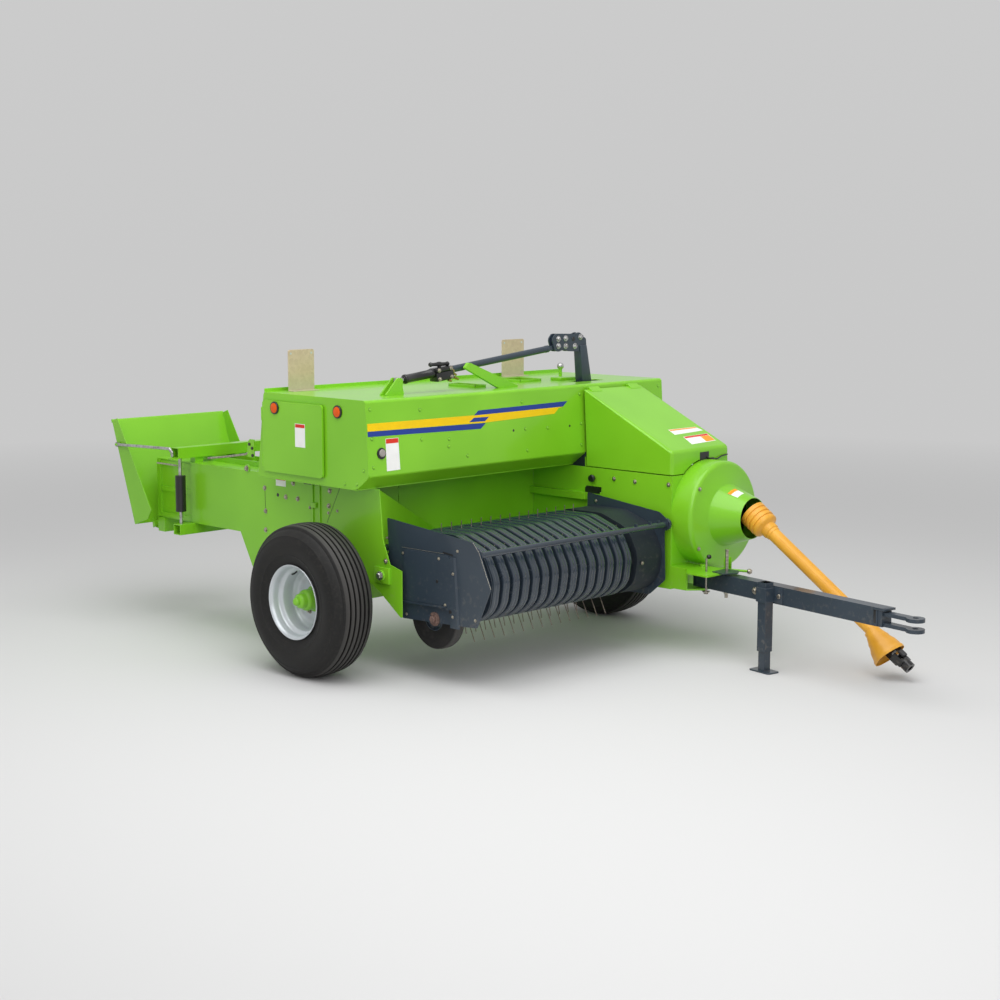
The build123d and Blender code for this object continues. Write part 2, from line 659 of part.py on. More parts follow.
frontPanel = slab(frontInside, housingFront, innerHousingRight, housingLeft, housingLow, housingSeam)
shroudSeat = rod((frontInside, driveY, driveZ), (housingFront, driveY, driveZ), shroudRadius)
shroudSeat = shroudSeat - slab(frontInside - 1, housingFront + 1, 0, innerHousingRight, 0, hoodTop)
shaftHole = rod((frontInside - 1, driveY, driveZ), (housingFront + 1, driveY, driveZ), 60)
shellPieces = [
    frontPanel + shroudSeat,
    slab(housingRear, housingRear + housingSheet, innerHousingRight, housingLeft, housingLow, housingSeam),
    slab(housingRear, housingFront, innerHousingRight, housingLeft, housingLow, housingLow + housingSheet),
    slab(housingRear, housingFront, innerHousingLeft, housingLeft, housingLow, housingSeam),
]
parts["housing_shell"] = fuse(shellPieces) - shaftHole

gearboxRear = 560.0
gearboxFront = 900.0
gearboxLow = 640.0
gearboxHigh = 930.0
gearboxHalf = 150.0
inputRadius = 25.0
bearing = tube((gearboxFront, driveY, driveZ), (frontInside, driveY, driveZ), 58, 58 - inputRadius - spin)
bearingBore = rod((gearboxFront - 200, driveY, driveZ), (gearboxFront + 1, driveY, driveZ), inputRadius + spin)
gearboxBlock = slab(gearboxRear, gearboxFront, driveY - gearboxHalf, driveY + gearboxHalf, gearboxLow, gearboxHigh)
gearboxFeet = [slab(x, x + 60, driveY - gearboxHalf, driveY + gearboxHalf, housingLow + housingSheet, gearboxLow)
               for x in (gearboxRear, gearboxFront - 60)]
parts["gearbox"] = fuse([gearboxBlock - bearingBore, bearing] + gearboxFeet)

# the cover closes the housing above the seam and tips forward and up on its rear top edge
coverLow = housingSeam + coverGap
coverRear = hoodFrontLow + 18
coverBackTopX = hoodFrontTop + 22
coverHingeX = coverBackTopX - 8
coverHingeZ = coverTopRear + 8
coverOutline = [(coverBackTopX, coverTopRear), (housingFront, coverTopFront), (housingFront, coverLow),
                (coverRear, coverLow), (coverRear, hoodFold)]
coverSides = [sidePlate(coverOutline, y, y + sheet) for y in (housingRight, housingLeft - sheet)]
coverSkin = strip([(housingFront, coverLow), (housingFront, coverTopFront), (coverBackTopX, coverTopRear)], sheet,
                  housingRight, housingLeft)
coverNotch = rod((housingFront - 20, driveY, driveZ), (housingFront + 20, driveY, driveZ), shroudRadius + 8)
knuckleSpans = ((700, 790), (1060, 1150))
coverKnuckles = []
hoodEars = []
for y0, y1 in knuckleSpans:
    leaf = sidePlate([(coverHingeX + 2, coverHingeZ - 8), (coverBackTopX + 30, coverTopRear - 16),
                      (coverBackTopX + 30, coverTopRear - 12), (coverHingeX + 4, coverHingeZ + 5)], y0, y1)
    leaf = leaf - rod((coverHingeX, y0, coverHingeZ), (coverHingeX, y1, coverHingeZ), knuckleRadius - 1)
    coverKnuckles.append(leaf)
    coverKnuckles.append(tube((coverHingeX, y0, coverHingeZ), (coverHingeX, y1, coverHingeZ), knuckleRadius,
                              knuckleRadius - knucklePin - spin))
    hoodEars.append(rod((coverHingeX, y0 - 9, coverHingeZ), (coverHingeX, y1 + 9, coverHingeZ), knucklePin))
    for e0 in (y0 - 9, y1 + 1):
        hoodEars.append(sidePlate([(hoodFrontTop, coverHingeZ - 8), (coverHingeX + 5, coverHingeZ - 6),
                                   (coverHingeX + 5, coverHingeZ + 6), (hoodFrontTop - 1, coverHingeZ + 8)],
                                  e0, e0 + 8))
parts["gear_cover"] = fuse(coverSides + [coverSkin]) - coverNotch
parts["gear_cover"] = fuse([parts["gear_cover"]] + coverKnuckles)
parts["hood_front"] = fuse([frontSheet] + hoodEars)

# flywheel cover: a drum, a rounded shoulder, a shallow face and the cone round the driveline
shroudSheet = 4.0
shoulder = 26.0
shoulderSteps = 4
drumFront = shroudBack + shroudDepth - shoulder
faceFront = shroudBack + shroudDepth + 20
shroudOuter = [(shroudRadius, shroudBack), (shroudRadius, drumFront)]
for step in range(1, shoulderSteps + 1):
    turn = math.radians(90 * step / shoulderSteps)
    shroudOuter.append((shroudRadius - shoulder * (1 - math.cos(turn)), drumFront + shoulder * math.sin(turn)))
shroudOuter += [(coneBaseRadius, faceFront), (coneMouthRadius, faceFront + coneLength)]
shroudInner = [(r - shroudSheet, x - shroudSheet if x > drumFront else x) for r, x in shroudOuter]
parts["flywheel_cover"] = spunX(shroudOuter + shroudInner[::-1], 0, driveY, driveZ)

# flywheel with its shaft and the first half of the driveline's joint
flywheelBack = shroudBack + 30
yokeBase = -58.0          # back of the fork's hub, from the joint
inputEnd = jointX + yokeBase + 3
wheelDisc = rod((flywheelBack, driveY, driveZ), (flywheelBack + flywheelWidth, driveY, driveZ), flywheelRadius)
inputShaft = rod((gearboxFront - 150, driveY, driveZ), (inputEnd, driveY, driveZ), inputRadius)


def yokePieces(base, tip, half):
    """Hub and two ears of a fork along +X, from the hub's back at base to the ears' tips; ears lie at +-Y."""
    pieces = [Pos((base + base + 25) / 2, 0, 0) * Box(25, 2 * yokeOut, 2 * half)]
    for side in (-1, 1):
        pieces.append(Pos((base + tip) / 2, side * (yokeOut - yokeEar / 2), 0) * Box(tip - base, yokeEar, 2 * half))
    return pieces


inputYoke = [Pos(jointX, driveY, driveZ) * piece for piece in yokePieces(yokeBase, 25, yokeHalf)]
crossPin = rod((jointX, driveY - yokeOut, driveZ), (jointX, driveY + yokeOut, driveZ), 10)
parts["flywheel"] = fuse([wheelDisc, inputShaft, crossPin] + inputYoke)


# ---------------------------------------------------------------- driveline, laid along its own line

shaftFrame = Pos(jointX, driveY, driveZ) * Rot(0, shaftSlope, 0)


def alongShaft(outline):
    """A solid turned about the driveline, from an outline of radius and distance from the joint."""
    wire = Wire.make_polygon([(distance, r, 0) for r, distance in outline], close=True)
    return shaftFrame * Solid.revolve(Face(wire), 360, Axis.X)


bellInner = bellRadius - 5
tubeInner = guardTubeRadius - guardTubeWall
ribs = []
for distance in (bellEnd - 66, bellEnd - 34, bellEnd - 2):
    ribRadius = bellRadius - (distance - bellEnd + 66) * 0.35
    ribs += [(ribRadius, distance - 7), (ribRadius, distance + 7), (ribRadius - 9, distance + 11)]
upperGuard = [(bellRadius, -bellBack), (bellRadius, bellEnd - 90)] + ribs
upperGuard += [(guardTubeRadius, bellEnd + 30), (guardTubeRadius, guardTubeEnd), (tubeInner, guardTubeEnd),
               (tubeInner, bellEnd + 24), (bellInner - 26, bellEnd - 10), (bellInner, bellEnd - 74),
               (bellInner, -bellBack)]
parts["driveline_upper_guard"] = alongShaft(upperGuard)

lowerInner = innerTubeRadius - guardTubeWall
bellFrame = shaftFrame * Pos(coneStart, 0, 0) * Rot(0, coneDroop, 0)
bellProfile = [(46, 0), (49, 28), (60, 62), (84, 118), (94, coneReach - 22), (96, coneReach)]
voidProfile = [(r - coneWall, distance) for r, distance in bellProfile[1:]]
voidProfile[-1] = (voidProfile[-1][0], coneReach + 1)


def turnedBell(profile):
    """The solid inside a profile of radius and distance, turned about the bell's own line."""
    ends = [(0, profile[-1][1]), (0, profile[0][1])]
    wire = Wire.make_polygon([(distance, r, 0) for r, distance in profile + ends], close=True)
    return bellFrame * Solid.revolve(Face(wire), 360, Axis.X)


lowerTube = shaftFrame * rod((innerTubeStart, 0, 0), (coneStart + 14, 0, 0), innerTubeRadius)
lowerBore = shaftFrame * rod((innerTubeStart - 1, 0, 0), (coneStart + 50, 0, 0), lowerInner)
parts["driveline_lower_guard"] = fuse([lowerTube, turnedBell(bellProfile)]) - lowerBore - turnedBell(voidProfile)

# outer joint: the shaft's fork, the cross and the fork that fits the tractor
outerCentre = shaftLength - 88
shaftRun = rod((coneStart - 15, 0, 0), (outerCentre - 52, 0, 0), shaftRadius)
shaftFork = [Pos(outerCentre, 0, 0) * Rot(90, 0, 0) * piece for piece in yokePieces(-62, 22, yokeHalf)]
endFork = [Pos(outerCentre, 0, 0) * Rot(0, 0, 180) * piece for piece in yokePieces(-48, 22, yokeHalf)]
outerCross = [rod((outerCentre, -yokeOut, 0), (outerCentre, yokeOut, 0), 10),
              rod((outerCentre, 0, -yokeOut), (outerCentre, 0, yokeOut), 10)]
endHub = rod((outerCentre + 40, 0, 0), (shaftLength, 0, 0), 32)
endBore = rod((outerCentre + 22, 0, 0), (shaftLength + 1, 0, 0), ptoBore)
outerYoke = fuse([shaftRun] + shaftFork + outerCross + endFork + [endHub]) - endBore
parts["driveline_outer_yoke"] = shaftFrame * outerYoke


# ---------------------------------------------------------------- drawbar, its mount and the jack

beamLow = drawbarZ - drawbarHigh / 2
beamHigh = drawbarZ + drawbarHigh / 2
barFrame = Pos(pivotX, pivotY, 0) * Rot(0, 0, drawbarSwing)
mountLow = beamLow - mountGap - mountPlate
mountHigh = beamHigh + mountGap + mountPlate
upperOutline = [(housingFront, housingRight), (mountWeb, housingRight), (mountWeb + 75, housingRight - 98),
                (mountFront, housingRight - 108), (mountFront, housingRight + 46), (mountFront - 80, mountLeft),
                (housingFront, mountLeft)]
lowerOutline = [(housingFront, housingRight), (mountWeb, housingRight), (mountLowFront, pivotY - 50),
                (mountLowFront, mountLeft), (housingFront, mountLeft)]
upperMount = floorPlate(upperOutline, mountHigh - mountPlate, mountHigh)
lowerMount = floorPlate(lowerOutline, mountLow, mountLow + mountPlate)
sideWeb = slab(housingFront, mountWeb, housingRight, housingRight + mountPlate, mountLow, mountHigh)
frontWeb = slab(housingFront, housingFront + mountPlate, housingRight, mountLeft, mountLow, mountHigh)
pivotPinBody = rod((pivotX, pivotY, mountLow - 12), (pivotX, pivotY, mountHigh + 12), pivotPinRadius)
parts["drawbar_mount"] = fuse([upperMount, lowerMount, sideWeb, frontWeb, pivotPinBody])

barTube = boxTube(-40, drawbarLength, -drawbarWide / 2, drawbarWide / 2, beamLow, beamHigh, beamWall, "X")
barBoss = Pos(0, 0, drawbarZ) * Cylinder(pivotPinRadius + 14, drawbarHigh)
barBore = Pos(0, 0, drawbarZ) * Cylinder(pivotPinRadius + spin, drawbarHigh + 2)
barNose = slab(drawbarLength - 40, drawbarLength + 30, -drawbarWide / 2 + 4, drawbarWide / 2 - 4, beamLow, beamHigh)
hitchEars = []
for z0 in (beamLow + 2, beamHigh - 22 - hitchPlate):
    ear = slab(drawbarLength, drawbarLength + clevisReach, -hitchHalf, hitchHalf, z0, z0 + hitchPlate)
    eye = Pos(drawbarLength + clevisReach, 0, z0 + hitchPlate / 2) * Cylinder(hitchEye, hitchPlate)
    hitchEars.append(ear + eye)
hitchBore = Pos(drawbarLength + clevisReach, 0, drawbarZ) * Cylinder(hitchPinRadius, drawbarHigh + 20)
bar = (fuse([barTube, barBoss, barNose] + hitchEars) - barBore) - hitchBore
parts["drawbar"] = barFrame * bar

jackOut = drawbarWide / 2 + 5 + jackBox / 2
jackAt = Pos(jackAlong, -jackOut, 0)
sleeve = boxTube(-jackBox / 2, jackBox / 2, -jackBox / 2, jackBox / 2, jackLow, jackHigh, jackWall, "Z")
collarHalf = jackBox / 2 + 8
collar = slab(-collarHalf, collarHalf, -collarHalf, jackOut - drawbarWide / 2, beamLow + 10, beamHigh - 10)
collarHole = slab(-jackBox / 2, jackBox / 2, -jackBox / 2, jackBox / 2, jackLow, jackHigh)
parts["jack_sleeve"] = barFrame * (jackAt * (sleeve + (collar - collarHole)))
legTop = jackLow + jackLap
leg = boxTube(-jackLeg / 2, jackLeg / 2, -jackLeg / 2, jackLeg / 2, footPlate - 1, legTop, jackWall, "Z")
foot = slab(-footLong / 2, footLong / 2, -footWide / 2, footWide / 2, 0, footPlate)
parts["jack_leg"] = barFrame * (jackAt * (leg + foot))


# ---------------------------------------------------------------- pickup


def rounded(path, radius, steps):
    """The path with its inner corners cut by arcs, each of the same radius where the runs leave room."""
    points = [path[0]]
    for (xa, za), (xb, zb), (xc, zc) in zip(path, path[1:], path[2:]):
        first = math.atan2(zb - za, xb - xa)
        turn = (math.atan2(zc - zb, xc - xb) - first + math.pi) % (2 * math.pi) - math.pi
        back = radius * math.tan(abs(turn) / 2)
        side = 1 if turn > 0 else -1
        centreX = xb - back * math.cos(first) - side * radius * math.sin(first)
        centreZ = zb - back * math.sin(first) + side * radius * math.cos(first)
        for step in range(steps + 1):
            angle = first - side * math.pi / 2 + turn * step / steps
            points.append((centreX + radius * math.cos(angle), centreZ + radius * math.sin(angle)))
    return points + [path[-1]]


upperBeam = (262.0, 702.0)
lowerBeam = (238.0, 450.0)
bandCorners = [(248, 712), (420, 806), (700, 810), (905, 740), (985, 590), (960, 430), (850, 350), (640, 330),
               lowerBeam]
bandPath = rounded(bandCorners, 140, 5)
inboard = pickupRight + sheet
outboard = pickupLeft - sheet
beams = [rod((upperBeam[0], inboard, upperBeam[1]), (upperBeam[0], outboard, upperBeam[1]), 18),
         rod((lowerBeam[0], inboard, lowerBeam[1]), (lowerBeam[0], outboard, lowerBeam[1]), 15)]
bands = []
for number in range(bandCount):
    middle = firstBand + number * bandPitch
    bands.append(strip(bandPath, -bandSheet, middle - bandWidth / 2, middle + bandWidth / 2))
drumPlate = sidePlate(bandPath, drumRight, drumRight + sheet)
drumBore = rod((reelX, drumRight - 1, reelZ), (reelX, drumRight + sheet + 1, reelZ), reelShaft + spin)
parts["pickup_bands"] = fuse(beams + bands + [drumPlate - drumBore])

caseSkin = strip(bandPath, -bandSheet, drumLeft, outboard)
caseSide = sidePlate(bandPath, drumLeft, drumLeft + sheet)
caseBore = rod((reelX, drumLeft - 1, reelZ), (reelX, drumLeft + sheet + 1, reelZ), reelShaft + spin)
caseRoom = [rod((x, drumLeft - 1, z), (x, outboard + 1, z), r)
            for (x, z), r in ((upperBeam, 18), (lowerBeam, 15))]
parts["pickup_drive_case"] = fuse([caseSkin, caseSide]) - caseBore - caseRoom[0] - caseRoom[1]

pivotBack = pickupPivotX - 32
nearOutline = [(268, 870), (941, 809), (993, 757), (1074, 578), (970, 356), (391, 329), (150, 585), (100, 590),
               (pivotBack, pickupPivotZ), (100, 648), (258, 648), (280, 668)]
nearPlate = sidePlate(nearOutline, pickupRight, inboard)
nearCover = sidePlate([(395, 440), (420, 717), (760, 717), (782, 690), (782, 425), (410, 425)],
                      pickupRight - 12, pickupRight)
nearBoss = rod((pickupPivotX, pickupRight, pickupPivotZ), (pickupPivotX, inboard + 12, pickupPivotZ), 28)
nearBore = rod((pickupPivotX, pickupRight - 1, pickupPivotZ), (pickupPivotX, inboard + 13, pickupPivotZ),
               pickupPin + spin)
gaugeStub = rod((gaugeX, pickupRight - 1, gaugeZ), (gaugeX, gaugeY + gaugeWidth / 2 - 4, gaugeZ), gaugeAxle)
gaugeNut = rod((gaugeX, pickupRight - 16, gaugeZ), (gaugeX, pickupRight, gaugeZ), 20)
parts["pickup_right_plate"] = fuse([nearPlate, nearCover, nearBoss]) - nearBore + gaugeStub + gaugeNut

farOutline = [(395, 880), (955, 818), (1030, 768), (995, 704), (1005, 423), (888, 323), (536, 312), (300, 420),
              (130, 590), (100, 590), (pivotBack, pickupPivotZ), (100, 650), (300, 684), (395, 760)]
farBore = rod((pickupPivotX, outboard - 40, pickupPivotZ), (pickupPivotX, pickupLeft + 1, pickupPivotZ),
              pickupPin + spin)
farBoss = rod((pickupPivotX, outboard - 12, pickupPivotZ), (pickupPivotX, pickupLeft, pickupPivotZ), 28)
parts["pickup_left_plate"] = fuse([sidePlate(farOutline, outboard, pickupLeft), farBoss]) - farBore

barEnds = [rod((frontBarX, y0, frontBarZ), (frontBarX, y1, frontBarZ), r)
           for y0, y1, r in ((inboard, outboard, frontBar), (pickupLeft, pickupLeft + 14, frontBar + 18))]
parts["pickup_front_bar"] = Compound(barEnds)

# reel: a tube with stub shafts, three discs, four bars and a tine in each gap between bands;
# each row gives where its bar stands round the reel and which way its tines point, both in degrees
tineRows = ((28, 58), (118, 98), (208, 291), (298, 305))
reelRight = drumRight + sheet + gap
reelLeft = drumLeft - gap
reelPieces = [rod((reelX, reelRight, reelZ), (reelX, reelLeft, reelZ), reelTube),
              rod((reelX, drumRight - 6, reelZ), (reelX, drumLeft + 40, reelZ), reelShaft)]
discs = (reelRight, (reelRight + reelLeft) / 2, reelLeft - sheet)
for y in discs:
    reelPieces.append(rod((reelX, y, reelZ), (reelX, y + sheet, reelZ), tineBarRadius))
for barAngle, tineAngle in tineRows:
    stand = math.radians(barAngle)
    point = math.radians(tineAngle)
    barX = reelX + tineBarRadius * math.cos(stand)
    barZ = reelZ + tineBarRadius * math.sin(stand)
    # the tine ends on the circle its tips sweep
    inward = tineBarRadius * math.cos(point - stand)
    across = tineBarRadius * math.sin(point - stand)
    tineLength = math.sqrt(tineTipRadius ** 2 - across ** 2) - inward
    tineLength = min(tineLength, tineReach)
    tipX = barX + tineLength * math.cos(point)
    tipZ = barZ + tineLength * math.sin(point)
    tines = [rod((barX, reelRight, barZ), (barX, reelLeft, barZ), tineBar)]
    for number in range(tineCount):
        y = firstBand + (number + 0.5) * bandPitch
        tines.append(rod((barX, y, barZ), (tipX, y, tipZ), tineRadius))
    reelPieces.append(fuse(tines))
parts["tine_reel"] = fuse(reelPieces)

gaugeOutline = [(gaugeAxle + spin, -gaugeWidth / 2 + 6), (40, -gaugeWidth / 2 + 6), (44, -12), (110, -12),
                (112, -gaugeWidth / 2 + 10), (gaugeRadius - 22, -gaugeWidth / 2), (gaugeRadius, -gaugeWidth / 2 + 18)]
gaugeOutline += [(r, -offset) for r, offset in reversed(gaugeOutline)]
parts["gauge_wheel"] = spun(gaugeOutline, gaugeX, gaugeY, gaugeZ)


# ---------------------------------------------------------------- feeder drive

rockerRight = rockerX - rockerThick / 2
rockerFront = rockerX + rockerThick / 2
standGap = 14.0
stands = []
for x0 in (rockerRight - standGap - plate, rockerFront + standGap):
    stands.append(crossPlate([(rockerPivotY - 90, hoodUnderside), (rockerPivotY + 90, hoodUnderside),
                              (rockerPivotY + 34, rockerPivotZ + 30), (rockerPivotY - 34, rockerPivotZ + 30)],
                             x0, x0 + plate))
standPin = rod((rockerRight - standGap - plate, rockerPivotY, rockerPivotZ),
               (rockerFront + standGap + plate, rockerPivotY, rockerPivotZ), rockerPin)
parts["rocker_stand"] = fuse(stands + [standPin])

# the rocker stands in its own plane YZ: up is along the arm, across is square to it
rockerTilt = math.radians(rockerLean)


def onRocker(up, across):
    """A point in Y and Z, from the rocker's pivot."""
    return (rockerPivotY - up * math.sin(rockerTilt) + across * math.cos(rockerTilt),
            rockerPivotZ + up * math.cos(rockerTilt) + across * math.sin(rockerTilt))


armFace = [onRocker(-10, -rockerHalf), onRocker(-10, rockerHalf), onRocker(rockerLength - 12, rockerHalf),
           onRocker(rockerLength, rockerHalf - 12), onRocker(rockerLength, -rockerHalf)]
arm = crossPlate(armFace, rockerRight, rockerFront)
armBoss = rod((rockerRight - standGap + 1, rockerPivotY, rockerPivotZ),
              (rockerFront + standGap - 1, rockerPivotY, rockerPivotZ), rockerHalf)
armBore = rod((rockerRight - standGap, rockerPivotY, rockerPivotZ),
              (rockerFront + standGap, rockerPivotY, rockerPivotZ), rockerPin + spin)
# outline of the plates on the rocker's top, from the rod's pin
headOutline = [(-69, 46), (-40, 80), (136, 74), (172, 85), (212, 60), (208, 16), (188, -36), (77, -30), (31, -18),
               (-9, -30), (-46, -25)]
headFace = [(rodPinY + dy, rodPinZ + dz) for dy, dz in headOutline]
head = [crossPlate(headFace, x0, x0 + plate) for x0 in (rockerRight - plate, rockerFront)]
headPin = rod((rockerRight - plate - 8, rodPinY, rodPinZ), (rockerFront + plate + 8, rodPinY, rodPinZ), rodPin)
parts["feeder_rocker"] = fuse([(arm + armBoss) - armBore, headPin] + head)

# ram and rod lie on the line from the ball to the rocker's pin
rodRise = math.atan2(rodPinZ - ballZ, rodPinY - ballY)
rodReach = math.hypot(rodPinZ - ballZ, rodPinY - ballY)
ballPin = 8.0


def onRod(distance, out):
    """A point in Y and Z, from the ball along the rod and square to it."""
    return (ballY + distance * math.cos(rodRise) - out * math.sin(rodRise),
            ballZ + distance * math.sin(rodRise) + out * math.cos(rodRise))


def rodPoint(distance):
    """A point of the rod's middle line."""
    y, z = onRod(distance, 0)
    return (rockerX, y, z)


ramTube = rod(rodPoint(ramStart), rodPoint(ramEnd), ramRadius)
ramBore = rod(rodPoint(rodStart - 40), rodPoint(ramEnd + 1), rodRadius + 0.4)
ballEye = rod((rockerX - 10, ballY, ballZ), (rockerX + 10, ballY, ballZ), 19)
ballBore = rod((rockerX - 11, ballY, ballZ), (rockerX + 11, ballY, ballZ), ballPin + spin)
ballNeck = rod(rodPoint(10), rodPoint(ramStart + 1), 9)
parts["feeder_ram"] = fuse([ramTube - ramBore, ballEye, ballNeck]) - ballBore

eyeHalf = rockerThick / 2 - 2
stemFace = [onRod(rodReach - rodEyeStem, -rodEyeStemHalf), onRod(rodReach - rodEyeStem, rodEyeStemHalf),
            onRod(rodReach, rodEyeStemHalf), onRod(rodReach, -rodEyeStemHalf)]
eyeStem = crossPlate(stemFace, rockerX - eyeHalf, rockerX + eyeHalf)
rodEye = rod((rockerX - eyeHalf, rodPinY, rodPinZ), (rockerX + eyeHalf, rodPinY, rodPinZ), rodEyeRadius)
eyeBore = rod((rockerX - rockerThick, rodPinY, rodPinZ), (rockerX + rockerThick, rodPinY, rodPinZ),
              rodPin + eyeClearance)
rodRun = rod(rodPoint(rodStart), rodPoint(rodReach - rodEyeStem + 2), rodRadius)
clampFace = [onRod(clampStart, -clampDown), onRod(clampStart, clampUp), onRod(clampEnd, clampUp),
             onRod(clampEnd, -clampDown)]
clamp = crossPlate(clampFace, rockerX - clampHalf, rockerX + clampHalf)
parts["feeder_rod"] = fuse([rodRun, clamp, eyeStem, rodEye]) - eyeBore

# brackets on the hood: two ears hold the ball's pin, and a slanted arm guards the rod
bracketFace = [(ballY - 110, hoodTop), (ballY + 30, hoodTop), (ballY + 19, ballZ - 42), (ballY + 19, ballZ + 12),
               (ballY - 16, ballZ + 20)]
ears = [crossPlate(bracketFace, x0, x0 + 12) for x0 in (rockerX - 28, rockerX + 16)]
earPin = rod((rockerX - 28, ballY, ballZ), (rockerX + 28, ballY, ballZ), ballPin)
guardFace = [(-182, hoodTop + 129), (-150, hoodTop + 161), (250, hoodTop + 8), (250, hoodTop), (90, hoodTop)]
guardBack = rockerX + clampHalf + gap
guardArm = crossPlate(guardFace, guardBack, guardBack + 24)
parts["feeder_brackets"] = Compound([fuse(ears + [earPin]), guardArm])


# ---------------------------------------------------------------- move the origin and write the pieces

whole = Compound(list(parts.values())).bounding_box()
shiftX = -(whole.min.X + whole.max.X) / 2
shiftY = -(whole.min.Y + whole.max.Y) / 2
shiftZ = -whole.min.Z
print("shift", round(shiftX, 3), round(shiftY, 3), round(shiftZ, 3))
os.makedirs("parts", exist_ok=True)
for name, shape in parts.items():
    export_step(Pos(shiftX, shiftY, shiftZ) * shape, "parts/" + name + ".step")
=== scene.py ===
import json
import math
import random

import bmesh
import bpy
from mathutils import Matrix, Vector


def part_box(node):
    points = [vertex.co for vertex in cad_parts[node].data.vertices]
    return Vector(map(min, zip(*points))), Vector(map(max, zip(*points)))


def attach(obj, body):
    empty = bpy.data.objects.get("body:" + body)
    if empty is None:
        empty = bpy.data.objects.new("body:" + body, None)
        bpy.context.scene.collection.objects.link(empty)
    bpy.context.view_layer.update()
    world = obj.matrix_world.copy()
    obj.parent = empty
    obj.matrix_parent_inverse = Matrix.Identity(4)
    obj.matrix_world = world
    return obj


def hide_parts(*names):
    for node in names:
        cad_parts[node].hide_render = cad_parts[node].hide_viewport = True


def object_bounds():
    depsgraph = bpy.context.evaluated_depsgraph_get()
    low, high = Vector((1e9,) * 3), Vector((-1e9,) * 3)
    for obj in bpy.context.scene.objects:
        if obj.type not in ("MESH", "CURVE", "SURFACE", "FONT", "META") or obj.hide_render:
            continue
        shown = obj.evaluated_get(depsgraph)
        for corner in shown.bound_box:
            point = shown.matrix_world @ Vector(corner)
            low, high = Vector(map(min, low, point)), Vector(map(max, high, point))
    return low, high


random.seed(7)
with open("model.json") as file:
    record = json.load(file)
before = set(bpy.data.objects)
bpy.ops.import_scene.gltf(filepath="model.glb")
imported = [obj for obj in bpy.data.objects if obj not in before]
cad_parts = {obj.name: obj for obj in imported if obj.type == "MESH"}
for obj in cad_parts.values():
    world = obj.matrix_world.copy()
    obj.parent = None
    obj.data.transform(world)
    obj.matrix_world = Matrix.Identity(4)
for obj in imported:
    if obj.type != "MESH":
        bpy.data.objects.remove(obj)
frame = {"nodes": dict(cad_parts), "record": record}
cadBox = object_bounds()
nodes = frame["nodes"]
bodyOf = {node: body for body, names in frame["record"]["behaviour"]["bodies"].items() for node in names}
print("frame loaded")


# places are in metres from the axle, midway between the tyres, on the ground
def middle(node):
    low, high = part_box(node)
    return (low + high) / 2


origin = (middle("tyre_right") + middle("tyre_left")) / 2
origin.z = cadBox[0].z


def at(x, y, z):
    return origin + Vector((x, y, z))


def upright(y, points):
    # places in one upright plane along the machine, from points in X and Z
    return [at(x, y, z) for x, z in points]


forwards = Vector((1, 0, 0))
rightward = Vector((0, -1, 0))
upwards = Vector((0, 0, 1))


class Wire:
    # a socket; arithmetic on it adds Math nodes
    def __init__(self, finish, socket):
        self.finish = finish
        self.socket = socket

    def join(self, operation, first, second):
        return self.finish.node("Math", {"operation": operation}, {0: first, 1: second})

    def __add__(self, other):
        return self.join("ADD", self, other)

    def __radd__(self, other):
        return self.join("ADD", other, self)

    def __sub__(self, other):
        return self.join("SUBTRACT", self, other)

    def __rsub__(self, other):
        return self.join("SUBTRACT", other, self)

    def __mul__(self, other):
        return self.join("MULTIPLY", self, other)

    def __rmul__(self, other):
        return self.join("MULTIPLY", other, self)


class Finish:
    # a material with its Principled shader and the nodes that feed it
    def __init__(self, name, **sockets):
        self.material = bpy.data.materials.new(name)
        self.material.use_nodes = True
        self.tree = self.material.node_tree
        self.shader = self.tree.nodes["Principled BSDF"]
        self.set(**sockets)

    def feed(self, socket, value):
        if isinstance(value, Wire):
            self.tree.links.new(value.socket, socket)
        elif socket.type == "RGBA" and len(value) == 3:
            socket.default_value = (*value, 1)
        else:
            socket.default_value = value

    def set(self, **sockets):
        for name, value in sockets.items():
            self.feed(self.shader.inputs[name.replace("_", " ")], value)

    def node(self, kind, settings=None, inputs=None, out=0):
        made = self.tree.nodes.new("ShaderNode" + kind)
        for key, value in (settings or {}).items():
            if key == "stops":
                fillRamp(made.color_ramp, value)
            else:
                setattr(made, key, value)
        for key, value in (inputs or {}).items():
            self.feed(made.inputs[key], value)
        return Wire(self, made.outputs[out])

    def place(self):
        return self.node("TexCoord", out=3)

    def height(self):
        return self.node("SeparateXYZ", None, {0: self.place()}, out=2)

    def noise(self, scale, detail, stretch=None):
        where = self.place()
        if stretch:
            where = self.node("Mapping", None, {0: where, 3: stretch})
        return self.node("TexNoise", None, {0: where, 2: scale, 3: detail})

    def blend(self, factor, first, second):
        return self.node("Mix", {"data_type": "RGBA"}, {0: factor, 6: first, 7: second}, out=2)

    def between(self, value, low, high):
        return self.node("MapRange", None, {0: value, 1: low, 2: high})

    def bump(self, height, strength, distance):
        inputs = {"Strength": strength, "Distance": distance, "Height": height}
        self.set(Normal=self.node("Bump", None, inputs))


def fillRamp(ramp, stops):
    while len(ramp.elements) < len(stops):
        ramp.elements.new(0.5)
    for element, (position, colour) in zip(ramp.elements, stops):
        element.position = position
        element.color = (*colour, 1)


